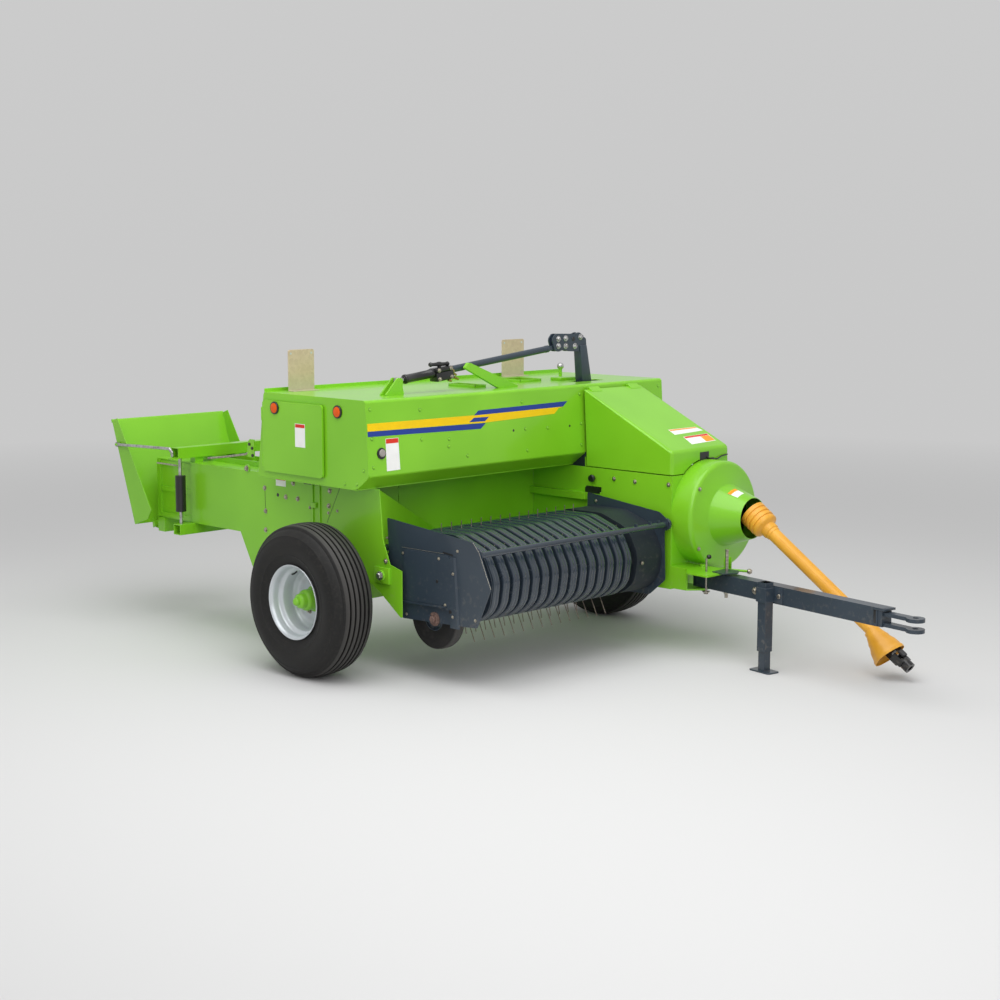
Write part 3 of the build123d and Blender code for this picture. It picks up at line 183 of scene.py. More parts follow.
paintLook = {
    "green": {"colour": (0.232, 0.6, 0.02), "deep": (0.196, 0.53, 0.013), "roughness": 0.3, "coat": 0.35,
        "dust": 0.22, "ripple": 0.1},
    "slate": {"colour": (0.031, 0.047, 0.066), "deep": (0.024, 0.037, 0.053), "roughness": 0.36,
        "coat": 0.35, "dust": 0.22, "ripple": 0.1},
    "glossySlate": {"colour": (0.03, 0.043, 0.06), "deep": (0.024, 0.035, 0.05), "roughness": 0.24,
        "coat": 0.6, "dust": 0.08, "ripple": 0.04},
    # darker than the slate paint: the darkness is painted shade for parts that lie in shade; matte and
    # without coat
    "dullSlate": {"colour": (0.016, 0.024, 0.034), "deep": (0.012, 0.018, 0.026), "roughness": 0.55,
        "coat": 0.0, "dust": 0.22, "ripple": 0.1},
    "black": {"colour": (0.012, 0.012, 0.013), "deep": (0.008, 0.008, 0.009), "roughness": 0.3,
        "coat": 0.4, "dust": 0.22, "ripple": 0.1},
}
# dust starts at one height and is thickest at another
dustLook = {"colour": (0.33, 0.29, 0.22), "from": 0.75, "to": 0.15}


def paint(name):
    # sprayed enamel: slow changes of depth, orange peel, and dust that thickens towards the ground
    look = paintLook[name]
    finish = Finish(name + "Paint", Coat_Weight=look["coat"], Coat_Roughness=0.09, Specular_IOR_Level=0.42)
    drift = finish.noise(1.7, 2.0)
    tone = finish.blend(finish.between(drift, 0.35, 0.65), look["deep"], look["colour"])
    specks = finish.between(finish.noise(38.0, 4.0), 0.56, 0.70)
    low = finish.between(finish.height(), dustLook["from"], dustLook["to"])
    dusty = specks * low * look["dust"]
    finish.set(Base_Color=finish.blend(dusty, tone, dustLook["colour"]))
    finish.set(Roughness=look["roughness"] + drift * 0.06 + dusty * 0.5)
    finish.bump(finish.noise(420.0, 2.0) * 0.3 + finish.noise(9.0, 1.0), look["ripple"], 0.0016)
    return finish.material


rubberLook = {"dark": (0.008, 0.008, 0.008), "bloom": (0.017, 0.0155, 0.014), "tread": (0.056, 0.054, 0.051),
              "scuff": (0.07, 0.064, 0.056), "roughness": 0.55}


def rubber():
    # tyre rubber: brown bloom on the sidewall and a tread worn grey
    look = rubberLook
    finish = Finish("tyreRubber", Specular_IOR_Level=0.30)
    bloom = finish.between(finish.noise(5.0, 4.0), 0.35, 0.75)
    scuff = finish.between(finish.noise(60.0, 5.0), 0.5, 0.8)
    facing = finish.node("SeparateXYZ", None, {0: finish.node("NewGeometry", out=1)}, out=1)
    tread = finish.between(facing * facing, 0.35, 0.05)
    tone = finish.blend(bloom * 0.6, look["dark"], look["bloom"])
    worn = finish.blend(tread, tone, look["tread"])
    finish.set(Base_Color=finish.blend(scuff * 0.3, worn, look["scuff"]))
    finish.set(Roughness=look["roughness"] + scuff * 0.25)
    finish.bump(finish.noise(260.0, 4.0), 0.22, 0.002)
    return finish.material


silverLook = {"dark": (0.5, 0.54, 0.57), "bright": (0.68, 0.71, 0.74), "film": (0.36, 0.35, 0.33),
              "roughness": 0.34}


def silver():
    # aluminium wheel paint: fine flake and thin road film
    look = silverLook
    finish = Finish("silverPaint", Metallic=0.35, Coat_Weight=0.3, Coat_Roughness=0.15)
    flake = finish.noise(900.0, 1.0)
    film = finish.between(finish.noise(14.0, 4.0), 0.5, 0.8)
    tone = finish.blend(flake, look["dark"], look["bright"])
    finish.set(Base_Color=finish.blend(film * 0.25, tone, look["film"]))
    finish.set(Roughness=look["roughness"] + film * 0.18)
    finish.bump(finish.noise(300.0, 2.0), 0.06, 0.001)
    return finish.material


guardColours = {"deep": (0.72, 0.335, 0.022), "bright": (0.84, 0.42, 0.04), "scratch": (0.9, 0.62, 0.26)}


def guardPlastic():
    # blow-moulded guard: mottled, scratched along its length, satin
    look = guardColours
    finish = Finish("yellowPlastic", Specular_IOR_Level=0.5)
    mottle = finish.between(finish.noise(7.0, 3.0), 0.3, 0.7)
    scratch = finish.between(finish.noise(90.0, 5.0, stretch=(1.0, 6.0, 1.0)), 0.62, 0.80)
    tone = finish.blend(mottle, look["deep"], look["bright"])
    finish.set(Base_Color=finish.blend(scratch * 0.35, tone, look["scratch"]))
    finish.set(Roughness=0.36 + scratch * 0.25)
    finish.bump(finish.noise(180.0, 3.0), 0.12, 0.002)
    return finish.material


zincLook = {"dark": (0.6, 0.46, 0.33), "bright": (0.72, 0.57, 0.43), "tarnish": (0.58, 0.43, 0.29),
            "foot": (0.38, 0.5, 0.3), "greenReflectionFrom": 1.63, "greenReflectionTo": 1.53}    # its foot has a painted reflection of the hood's green


def galvanised():
    # zinc coat with its spangle, slightly tarnished, and a painted green reflection of the hood at its foot
    look = zincLook
    finish = Finish("galvanised", Metallic=0.30)
    spangle = finish.node("TexVoronoi", {"feature": "F1"}, {0: finish.place(), "Scale": 60.0}, out=1)
    grey = finish.node("RGBToBW", None, {0: spangle})
    tarnish = finish.between(finish.noise(6.0, 4.0), 0.35, 0.7)
    tone = finish.blend(grey, look["dark"], look["bright"])
    tinted = finish.blend(tarnish * 0.4, tone, look["tarnish"])
    # painted reflection: low down, near the hood, the plate is tinted towards the hood's green
    foot = finish.between(finish.height(), look["greenReflectionFrom"], look["greenReflectionTo"])
    finish.set(Base_Color=finish.blend(foot * 0.45, tinted, look["foot"]))
    finish.set(Roughness=0.30 + grey * 0.16)
    finish.bump(grey, 0.06, 0.0008)
    return finish.material


metalTable = {      # material, colour, worn colour, roughness, grain and metallic
    "bolt": ("platedBolt", (0.56, 0.52, 0.43), (0.32, 0.29, 0.25), 0.3, 70.0, 1.0),
    "steel": ("brightSteel", (0.62, 0.62, 0.62), (0.4, 0.39, 0.38), 0.22, 40.0, 1.0),
    "tine": ("tineSteel", (0.36, 0.31, 0.27), (0.2, 0.16, 0.13), 0.36, 50.0, 1.0),
    "iron": ("castIron", (0.14, 0.12, 0.11), (0.07, 0.06, 0.055), 0.5, 30.0, 1.0),
    "brass": ("brassFitting", (0.62, 0.43, 0.16), (0.4, 0.28, 0.12), 0.28, 60.0, 1.0),
    "rust": ("rustyNut", (0.27, 0.17, 0.14), (0.15, 0.1, 0.085), 0.55, 60.0, 0.5),
}
vinylTable = {      # material, colour and roughness
    "yellowFilm": ("yellowFilm", (0.92, 0.6, 0.002), 0.28),
    "blueFilm": ("blueFilm", (0.02, 0.05, 0.29), 0.28),
    "whiteFilm": ("whiteFilm", (0.9, 0.9, 0.88), 0.28),
    "redFilm": ("redFilm", (0.72, 0.04, 0.02), 0.28),
    "orangeFilm": ("orangeFilm", (0.9, 0.34, 0.01), 0.28),
    "knob": ("knobPlastic", (0.34, 0.31, 0.29), 0.4),
    "lens": ("reflectorLens", (0.78, 0.105, 0.006), 0.22),
}


def metal(name, colour, worn, roughness, grain, metallic):
    # bare or plated steel: two tones in patches, with a fine grain
    finish = Finish(name, Metallic=metallic)
    patch = finish.between(finish.noise(grain, 4.0), 0.35, 0.65)
    fine = finish.noise(grain * 9, 2.0)
    finish.set(Base_Color=finish.blend(patch, worn, colour))
    finish.set(Roughness=roughness + patch * 0.12 + fine * 0.08)
    finish.bump(fine, 0.10, 0.0012)
    return finish.material


def vinyl(name, colour, roughness):
    # printed film, very slightly uneven
    finish = Finish(name, Specular_IOR_Level=0.25)
    drift = finish.between(finish.noise(20.0, 3.0), 0.3, 0.7)
    faded = tuple(c * 0.93 + 0.004 for c in colour)
    finish.set(Base_Color=finish.blend(drift, faded, colour))
    finish.set(Roughness=roughness + drift * 0.05)
    finish.bump(finish.noise(160.0, 2.0), 0.05, 0.0006)
    return finish.material


finishes = {name: paint(name) for name in paintLook}
finishes.update(rubber=rubber(), silver=silver(), plastic=guardPlastic(), zinc=galvanised())
finishes.update({key: metal(*values) for key, values in metalTable.items()})
finishes.update({key: vinyl(*values) for key, values in vinylTable.items()})
slotTable = {
    "green_paint": ["green"], "slate_paint": ["slate", "glossySlate", "dullSlate"], "black_paint": ["black"],
    "silver_paint": ["silver"], "yellow_plastic": ["plastic"], "tyre": ["rubber"], "galvanised": ["zinc"],
    "bright_steel": ["bolt", "steel", "tine", "brass"], "cast_iron": ["iron", "rust"],
}
slotOf = {finish: slot for slot, names in slotTable.items() for finish in names}
print("finishes made")


def fromMesh(name, bm):
    bmesh.ops.recalc_face_normals(bm, faces=bm.faces)
    mesh = bpy.data.meshes.new(name)
    bm.to_mesh(mesh)
    bm.free()
    obj = bpy.data.objects.new(name, mesh)
    bpy.context.scene.collection.objects.link(obj)
    return obj


def register(name, bm, body, finish, replaced=(), sharp=32):
    # makes a piece and gives it its finish, its shading and the body that it rides on
    obj = fromMesh(name, bm)
    obj.data.materials.append(finishes[finish])
    obj.data.shade_smooth()
    obj.data.set_sharp_from_angle(angle=math.radians(sharp))
    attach(obj, body)
    finish in slotOf
    if replaced:
        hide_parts(*replaced)
    return obj


def single(name, body, finish, shape, *values, **look):
    # a piece that is one shape alone
    bm = bmesh.new()
    shape(bm, *values)
    register(name, bm, body, finish, **look)


def turns(count):
    return [2 * math.pi * k / count for k in range(count)]


def axes(direction):
    # a direction's unit vector and two that are square to it
    along = Vector(direction).normalized()
    side = along.orthogonal().normalized()
    return along, side, along.cross(side)


def ring(point, square, radius, height, count, lean=0.0):
    # points round a circle square to a direction, at a height along it
    along, side, other = square
    return [point + (side * math.cos(lean + a) + other * math.sin(lean + a)) * radius + along * height
            for a in turns(count)]


def addRings(bm, rings, wrap=False, seam=True):
    # skins a list of rings of points; wrap joins the last ring to the first, seam closes each ring
    made = [[bm.verts.new(point) for point in points] for points in rings]
    count = len(made[0])
    for first, second in zip(made, made[1:] + made[:1] if wrap else made[1:]):
        for i in range(count if seam else count - 1):
            j = (i + 1) % count
            bm.faces.new((first[i], first[j], second[j], second[i]))
    if not wrap:
        bm.faces.new(made[0][::-1])
        bm.faces.new(made[-1])


def mirrored(half):
    # the second half of a profile, the same as the first on the other side
    return half + [(radius, -offset) for radius, offset in reversed(half)]


def addTurned(bm, profile, centre, direction, steps=48, closed=True):
    # a solid turned about a line, from (radius, offset) points
    along = Vector(direction).normalized()
    up = upwards - along * along.z
    up = up.normalized() if up.length > 0.01 else along.orthogonal().normalized()
    side = along.cross(up)
    rings = []
    for angle in turns(steps):
        out = up * math.cos(angle) + side * math.sin(angle)
        rings.append([centre + out * radius + along * offset for radius, offset in profile])
    addRings(bm, rings, wrap=True, seam=closed)
    bmesh.ops.remove_doubles(bm, verts=bm.verts, dist=1e-6)


def addRod(bm, points, radius, sides=12):
    # a round bar along a list of points
    points = [Vector(p) for p in points]
    side = None
    rings = []
    for i, point in enumerate(points):
        along = (points[min(i + 1, len(points) - 1)] - points[max(i - 1, 0)]).normalized()
        side = along.orthogonal() if side is None else side - along * side.dot(along)
        side.normalize()
        rings.append(ring(point, (along, side, along.cross(side)), radius, 0.0, sides))
    addRings(bm, rings)


def addBlock(bm, centre, size, turn=None, bevel=0.0015):
    # a block with eased edges
    made = bmesh.ops.create_cube(bm, size=1.0)["verts"]
    matrix = Matrix.Translation(centre) @ (turn or Matrix.Identity(4)) @ Matrix.Diagonal((*size, 1))
    bmesh.ops.transform(bm, matrix=matrix, verts=made)
    edges = list({edge for vert in made for edge in vert.link_edges})
    if bevel:
        bmesh.ops.bevel(bm, geom=edges, offset=bevel, segments=2, profile=0.5, affect="EDGES")


def addPlate(bm, outline, thick):
    # a flat plate from points in one plane, thick along its own normal
    face = bm.faces.new([bm.verts.new(point) for point in outline])
    face.normal_update()
    lift = face.normal * thick
    moved = bmesh.ops.extrude_face_region(bm, geom=[face])["geom"]
    bmesh.ops.translate(bm, verts=[v for v in moved if isinstance(v, bmesh.types.BMVert)], vec=lift)


def addBolt(bm, point, normal, size):
    # hexagon head with a chamfered crown, on a washer; size is half its width across corners
    square = axes(normal)
    lean = random.uniform(0, math.pi / 3)
    wide, base, tall = size * 1.45, size * 0.20, size * 0.75
    washer = ((wide, -0.002), (wide, base * 0.8), (size * 1.36, base * 1.1))
    head = ((size, base - 0.001), (size, base + tall * 0.78), (size * 0.84, base + tall))
    addRings(bm, [ring(point, square, radius, height, 20) for radius, height in washer])
    addRings(bm, [ring(point, square, radius, height, 6, lean) for radius, height in head])


def addBolts(bm, places, normal, size):
    for place in places:
        addBolt(bm, place, normal, size)


def addDome(bm, point, normal, radius):
    # round-headed bolt
    square = axes(normal)
    shape = ((1.0, -0.15), (1.0, 0.12), (0.86, 0.36), (0.55, 0.52), (0.2, 0.58))
    addRings(bm, [ring(point, square, radius * share, radius * height, 14) for share, height in shape])


def addDisc(bm, point, normal, radius, high, low=0.0):
    # a flat round piece on a surface
    square = axes(normal)
    shrink = min(0.001, radius * 0.1)
    shape = ((radius, low), (radius, high - shrink), (radius - shrink, high))
    addRings(bm, [ring(point, square, r, h, 24) for r, h in shape])


def addFilm(bm, points, normal, level=1):
    # a thin film on a surface; a higher level lies over the lower ones
    lift = Vector(normal).normalized()
    addRings(bm, [[point + lift * h for point in points] for h in (0.0001, level * 0.0005 + 0.0002)])


def filleted(path, radius, steps):
    # the path with its corners turned into arcs
    points = [path[0]]
    for (xa, za), (xb, zb), (xc, zc) in zip(path, path[1:], path[2:]):
        runs = (math.hypot(xb - xa, zb - za), math.hypot(xc - xb, zc - zb))
        first = math.atan2(zb - za, xb - xa)
        turn = (math.atan2(zc - zb, xc - xb) - first + math.pi) % (2 * math.pi) - math.pi
        half = math.tan(abs(turn) / 2)
        bend = min(radius, 0.48 * min(runs) / half) if half > 1e-6 else radius
        back = bend * half
        side = 1 if turn > 0 else -1
        cx = xb - back * math.cos(first) - side * bend * math.sin(first)
        cz = zb - back * math.sin(first) + side * bend * math.cos(first)
        for step in range(steps + 1):
            angle = first - side * math.pi / 2 + turn * step / steps
            points.append((cx + bend * math.cos(angle), cz + bend * math.sin(angle)))
    return points + [path[-1]]


easeLook = {
    "weld": 2e-5, "flat": 0.6,                        # what is joined or dissolved before the easing
    "sharp": 28, "profile": 0.6,                      # edges that turn by more degrees are eased
    "foldNear": 0.0065, "foldLong": 0.012, "slack": 0.01, "foldTurn": 0.15,
    "cornerTurn": 0.4, "cornerRoom": 0.42,
}


def folds(edge, turn):
    return len(edge.link_faces) == 2 and edge.calc_face_angle(0) > turn


def linesUp(edge, a, b):
    # whether an edge with a fold lies along the line from a to b
    along = (b - a).normalized()
    run = edge.verts[1].co - edge.verts[0].co
    offset = (edge.verts[0].co + edge.verts[1].co) / 2 - a
    reach = offset.dot(along)
    slack = easeLook["slack"]
    return (folds(edge, easeLook["foldTurn"]) and run.length > easeLook["foldLong"]
            and abs(run.normalized().dot(along)) > 0.9995 and -slack < reach < (b - a).length + slack
            and (offset - along * reach).length < easeLook["foldNear"])


def roundFolds(bm, lines, radius):
    # rounds the sheet's edges along the given lines, outside and inside alike
    chosen = {edge for a, b in lines for edge in bm.edges if linesUp(edge, at(*a), at(*b))}
    bmesh.ops.bevel(bm, geom=list(chosen), offset=radius, segments=4, profile=0.5, affect="EDGES")


def roundCorners(bm, radius, axis, thick):
    # rounds the outline of a plate: its short edges across the thickness
    across = Vector((axis == "x", axis == "y", axis == "z"))
    corners = []
    for edge in bm.edges:
        run = edge.verts[1].co - edge.verts[0].co
        short = 0.0005 < run.length < thick and abs(run.normalized().dot(across)) > 0.999
        if short and folds(edge, easeLook["cornerTurn"]):
            corners.append(edge)
    for edge in corners:
        if not edge.is_valid:
            continue
        room = [other.calc_length() for vert in edge.verts for other in vert.link_edges if other is not edge]
        size = min(radius, easeLook["cornerRoom"] * min(room))
        bmesh.ops.bevel(bm, geom=[edge], offset=size, segments=4, profile=0.5, affect="EDGES")


def trim(bm, point, normal):
    # cuts away what lies beyond a plane and closes the cut
    geom = list(bm.verts) + list(bm.edges) + list(bm.faces)
    cut = bmesh.ops.bisect_plane(bm, geom=geom, plane_co=point, plane_no=normal, clear_outer=True)["geom_cut"]
    bmesh.ops.edgeloop_fill(bm, edges=[e for e in cut if isinstance(e, bmesh.types.BMEdge)])


def easedCopy(node, finish, bevel):
    # a CAD plate with its edges eased, as cut and painted sheet has; it stands for the plain one
    look = easeLook
    bm = bmesh.new()
    bm.from_mesh(nodes[node].data)
    bmesh.ops.remove_doubles(bm, verts=bm.verts, dist=look["weld"])
    bmesh.ops.dissolve_limit(bm, angle_limit=math.radians(look["flat"]), verts=bm.verts, edges=bm.edges)
    if node in shapes:
        shapes[node](bm)
    elif node in cornerTable:
        roundCorners(bm, *cornerTable[node])
    edges = [edge for edge in bm.edges if folds(edge, math.radians(look["sharp"]))]
    bmesh.ops.bevel(bm, geom=edges, offset=bevel, segments=2, profile=look["profile"], affect="EDGES",
                    clamp_overlap=True)
    obj = register(node + ".eased", bm, bodyOf[node], finish, [node], sharp=50)
    weigh = obj.modifiers.new("faceNormals", "WEIGHTED_NORMAL")
    weigh.keep_sharp = True


hoodLook = {
    "path": [(0.25, 1.523), (0.302, 1.523), (0.3045, 1.4833)],    # over the front's top edge, in X and Z
    "roll": 0.02, "rollBack": 0.0188, "upstand": 0.02, "sheet": 0.0025, "lip": 0.009,
    "lipAt": (0.328, 1.11), "right": -1.0549, "left": 1.4049, "endFace": -1.06,
    "lean": 0.06295,         # how far the front runs forwards for each metre down
}
coverLook = {"fold": 0.019, "right": 0.66, "left": 1.19, "back": (0.324, 1.492), "front": (1.01, 1.168),
             "foot": (1.01, 1.03), "fall": 0.4723}
chuteLook = {
    "hinge": (-1.925, 0.6), "lean": 19.5, "cut": 0.694, "right": -1.055, "left": -0.195,
    # how far from the hinge and how far out each point of the hem lies
    "hem": [(0.692, -0.005), (0.692, 0.0), (0.7, 0.0), (0.7035, -0.002), (0.705, -0.0065),
        (0.7035, -0.011), (0.7, -0.013), (0.684, -0.013), (0.684, -0.0082), (0.6985, -0.0082),
        (0.6998, -0.0065), (0.6985, -0.005)],
}
doorLook = {"corner": 0.022, "thick": 0.0125, "rim": 0.006, "face": -1.078}


def shapeHoodFront(bm):
    x, z = hoodLook["lipAt"]
    roundFolds(bm, [((x, hoodLook["right"], z), (x, hoodLook["left"], z))], hoodLook["lip"])
    trim(bm, at(0, 0, hoodLook["path"][1][1] - hoodLook["rollBack"]), upwards)


def shapeHoodTop(bm):
    x, z = hoodLook["path"][1]
    trim(bm, at(x - hoodLook["rollBack"], 0, 0), forwards)
    trim(bm, at(0, 0, z + hoodLook["upstand"]), upwards)


def shapeGearCover(bm):
    (xa, za), (xb, zb), (xc, zc) = (coverLook[key] for key in ("back", "front", "foot"))
    sides = (coverLook["right"], coverLook["left"])
    lines = [((xa, y, za), (xb, y, zb)) for y in sides] + [((xc, y, zc), (xb, y, zb)) for y in sides]
    lines += [((xb, sides[0], zb), (xb, sides[1], zb))]
    roundFolds(bm, lines, coverLook["fold"])


def onChute(distance, out, y):
    tilt = math.radians(chuteLook["lean"])
    x, z = chuteLook["hinge"]
    return at(x - distance * math.sin(tilt) + out * math.cos(tilt), y,
              z + distance * math.cos(tilt) + out * math.sin(tilt))


def shapeChute(bm):
    trim(bm, onChute(chuteLook["cut"], 0, 0), onChute(1, 0, 0) - onChute(0, 0, 0))


def shapeDoor(bm):
    roundCorners(bm, doorLook["corner"], "y", doorLook["thick"])
    face = min(vert.co.y for vert in bm.verts)
    rim = [edge for edge in bm.edges
           if all(abs(vert.co.y - face) < 1e-5 for vert in edge.verts) and edge.calc_face_angle(0) > 0.5]
    bmesh.ops.bevel(bm, geom=rim, offset=doorLook["rim"], segments=3, profile=0.5, affect="EDGES")


shapes = {"hood_front": shapeHoodFront, "hood_top": shapeHoodTop, "gear_cover": shapeGearCover,
          "twine_door": shapeDoor, "bale_chute": shapeChute}
cornerTable = {      # radius, axis across the plate and the most that its thickness can be
    "hood_right_end": (0.018, "y", 0.0065), "hood_left_end": (0.018, "y", 0.0065),
    "pickup_right_plate": (0.01, "y", 0.0085), "pickup_left_plate": (0.01, "y", 0.0085),
    "upright_plates": (0.012, "x", 0.0065), "feeder_brackets": (0.01, "x", 0.025),
    "feeder_rocker": (0.013, "x", 0.0085), "jack_leg": (0.018, "z", 0.0085),
    "drawbar_mount": (0.01, "z", 0.0105), "rear_cross_member": (0.008, "y", 0.0145),
}
easedNodes = [      # finish, width of the eased edge, and nodes
    ("green", 0.0012, ["chamber_right_side", "chamber_left_side", "needle_guard", "chamber_top_rails",
        "tension_rails", "rear_cross_member", "hood_right_end", "hood_left_end", "hood_front",
        "hood_rear", "hood_top", "feeder_roof", "feeder_back_wall", "feeder_floor", "crop_wing",
        "housing_right_side", "housing_shell", "drawbar_mount", "rocker_stand", "feeder_brackets",
        "bale_chute", "gear_cover", "chamber_floor", "plunger", "twine_door"]),
    ("green", 0.003, ["upper_yoke", "lower_yoke", "axle", "cross_frame"]),
    ("slate", 0.0012, ["pickup_right_plate", "pickup_left_plate"]),
    ("slate", 0.003, ["drawbar", "jack_sleeve", "jack_leg", "feeder_rocker"]),
    ("black", 0.002, ["driveline_outer_yoke", "flywheel"]),
    ("iron", 0.004, ["gearbox"]),
    ("zinc", 0.001, ["upright_plates"]),
]
for finish, width, names in easedNodes:
    for node in names:
        easedCopy(node, finish, width)


def addRoll(bm, look):
    # sheet rolled round the middle corner of the hood's path, across the machine
    points = [Vector(p) for p in filleted(look["path"], look["roll"], 8)[1:-1]]
    inner = []
    for i, point in enumerate(points):
        run = (points[min(i + 1, len(points) - 1)] - points[max(i - 1, 0)]).normalized()
        inner.append(point + Vector((run.y, -run.x)) * look["sheet"])
    outline = points + inner[::-1]
    addRings(bm, [[at(p.x, y, p.y) for p in outline] for y in (look["right"], look["left"])])


single("hoodRoll", "root", "green", addRoll, hoodLook, replaced=["hood_front"], sharp=50)
sides = (chuteLook["right"], chuteLook["left"])
hem = [[onChute(distance, out, y) for distance, out in chuteLook["hem"]] for y in sides]
single("chuteHem", bodyOf["bale_chute"], "green", addRings, hem, sharp=50)
print("sheet metal eased")


tyreLook = {
    "ribs": 6,               # raised rings round the tread
    "grooveWide": 0.008,
    "grooveDeep": 0.012,
    "treadHalf": 0.094,
    "crown": 0.01,           # how far the tread falls away at its edges
    # the shoulder is measured from the tread, the sidewall from the axle
    "shoulder": [(0.016, 0.0975), (0.026, 0.101), (0.031, 0.108)],
    "sidewall": [(0.385, 0.118), (0.372, 0.1275), (0.366, 0.1335), (0.36, 0.1335), (0.345, 0.141),
        (0.318, 0.145), (0.29, 0.1435), (0.27, 0.1385), (0.262, 0.139), (0.257, 0.1345), (0.238, 0.123),
        (0.222, 0.1175), (0.214, 0.1165), (0.203, 0.1125), (0.196, 0.106)],
    "steps": 120,
}


def treadProfile(radius):
    # half of the tread from its middle outwards, as (radius, offset)
    look = tyreLook
    half, groove, deep = look["treadHalf"], look["grooveWide"] / 2, look["grooveDeep"]
    pitch = 2 * half / look["ribs"]
    points = []
    for rib in range(look["ribs"] // 2):
        last = rib == look["ribs"] // 2 - 1
        left = rib * pitch + groove
        right = half if last else (rib + 1) * pitch - groove
        rise = [radius - look["crown"] * (offset / half) ** 2 for offset in (left, right)]
        floor = radius - deep - look["crown"] * (left / half) ** 2
        points += [(floor, left - 0.001), (floor + 0.001, left), (rise[0] - 0.0015, left + 0.0012),
                   (rise[0], left + 0.003), (rise[1], right - 0.003), (rise[1] - 0.0015, right - 0.0008)]
        if not last:
            points += [(rise[1] - deep + 0.001, right), (rise[1] - deep, right + 0.001)]
    return points


for side in ("right", "left"):
    centre = middle("tyre_" + side)
    radius = centre.z - origin.z
    half = treadProfile(radius) + [(radius - drop, offset) for drop, offset in tyreLook["shoulder"]]
    single("tyre_" + side + ".ribbed", "wheel_" + side, "rubber", addTurned,
           mirrored(half + tyreLook["sidewall"]), centre, (0, 1, 0), tyreLook["steps"],
           replaced=["tyre_" + side])

rimLook = {
    # lip, well, disc and back of the disc, back of the barrel
    "section": [(0.1965, 0.101), (0.2015, 0.1135), (0.206, 0.119), (0.2075, 0.1235), (0.2055, 0.1262),
        (0.2015, 0.125), (0.1975, 0.119), (0.1925, 0.112), (0.1895, 0.106), (0.1885, 0.08),
        (0.186, 0.072), (0.18, 0.066), (0.17, 0.06), (0.1665, 0.054), (0.1655, 0.002), (0.165, -0.006),
        (0.161, -0.012), (0.154, -0.02), (0.15, -0.03), (0.144, -0.034), (0.118, -0.035), (0.095, -0.03),
        (0.06, -0.03), (0.056, -0.031), (0.056, -0.038), (0.095, -0.038), (0.118, -0.043),
        (0.146, -0.042), (0.16, -0.03), (0.1655, -0.016), (0.1655, -0.022), (0.188, -0.038),
        (0.1885, -0.11), (0.196, -0.118), (0.2055, -0.1262), (0.2075, -0.1235), (0.2015, -0.1135),
        (0.1965, -0.101), (0.194, -0.03), (0.171, -0.012), (0.171, 0.048), (0.194, 0.064)],
    "nuts": 5, "nutTurn": 0.35, "nutCircle": 0.085, "nutIn": 0.03, "nut": 0.011,
    "stud": 0.0065, "studOut": 0.02,
    "valve": [(-0.03, 0.066, 0.16), (-0.03, 0.084, 0.15), (-0.03, 0.1, 0.148)], "valveThick": 0.005,
}
hubLook = {
    "profile": [(0.031, -0.098), (0.058, -0.098), (0.06, -0.08), (0.06, -0.04), (0.072, -0.0385),
        (0.072, -0.026), (0.06, -0.023), (0.0585, 0.034), (0.0555, 0.042), (0.048, 0.047), (0.043, 0.05),
        (0.0415, 0.07), (0.039, 0.079), (0.034, 0.084), (0.024, 0.088), (0.0225, 0.1), (0.019, 0.107),
        (0.01, 0.111), (0.0, 0.112), (0.0, 0.058), (0.031, 0.058)],
}
for side, sign in (("right", -1), ("left", 1)):
    centre = middle("tyre_" + side)
    wheel = "wheel_" + side
    outward = Vector((0, sign, 0))
    single("rim_" + side + ".dished", wheel, "silver", addTurned, rimLook["section"], centre, outward, 96,
           replaced=["rim_" + side], sharp=40)
    single("hub_" + side + ".turned", wheel, "green", addTurned, hubLook["profile"], centre, outward, 64,
           replaced=["hub_" + side], sharp=40)
    bm = bmesh.new()
    for k in range(rimLook["nuts"]):
        angle = 2 * math.pi * (k + rimLook["nutTurn"]) / rimLook["nuts"]
        circle = rimLook["nutCircle"]
        spot = centre + Vector((math.cos(angle) * circle, -rimLook["nutIn"] * sign, math.sin(angle) * circle))
        addBolt(bm, spot, outward, rimLook["nut"])
        addRod(bm, [spot, spot + outward * rimLook["studOut"]], rimLook["stud"])
    register("wheelNuts_" + side, bm, wheel, "bolt")
    valve = [centre + Vector((x, y * sign, z)) for x, y, z in rimLook["valve"]]
    single("tyreValve_" + side, wheel, "black", addRod, valve, rimLook["valveThick"])
print("road wheels made")


bandLook = {
    "count": 15, "pitch": 0.076, "first": -0.74,
    "path": [(0.248, 0.712), (0.42, 0.806), (0.7, 0.81), (0.905, 0.74), (0.985, 0.59), (0.96, 0.43),
        (0.85, 0.35), (0.64, 0.33), (0.238, 0.45)],
    "bend": 0.14,
    # half of the pressed section: how far out from the middle, and how deep
    "section": [(0.004, 0.0018), (0.007, 0.0002), (0.01, 0.0), (0.018, 0.0003), (0.0225, 0.0018),
        (0.0252, 0.0052), (0.026, 0.0105), (0.026, 0.03)],
    "sheet": 0.0018, "flange": 0.012,
    "rails": (0.018, 0.015), "railSides": (-0.875, 0.615), "railIn": (0.01, -0.008),
    "drumAt": -0.778, "drum": 0.004,
}


def addBand(bm, path, y):
    # sweeps the pressed section along a path in X and Z
    section, sheet = bandLook["section"], bandLook["sheet"]
    outline = [(-u, v) for u, v in reversed(section)] + section
    outline += [(u - math.copysign(sheet, u), v + (sheet if v < bandLook["flange"] else 0))
                for u, v in reversed(outline)]
    rings = []
    for i, (x, z) in enumerate(path):
        xa, za = path[max(i - 1, 0)]
        xb, zb = path[min(i + 1, len(path) - 1)]
        run = math.hypot(xb - xa, zb - za)
        inX, inZ = (zb - za) / run, -(xb - xa) / run
        rings.append([at(x + inX * v, y + u, z + inZ * v) for u, v in outline])
    addRings(bm, rings)


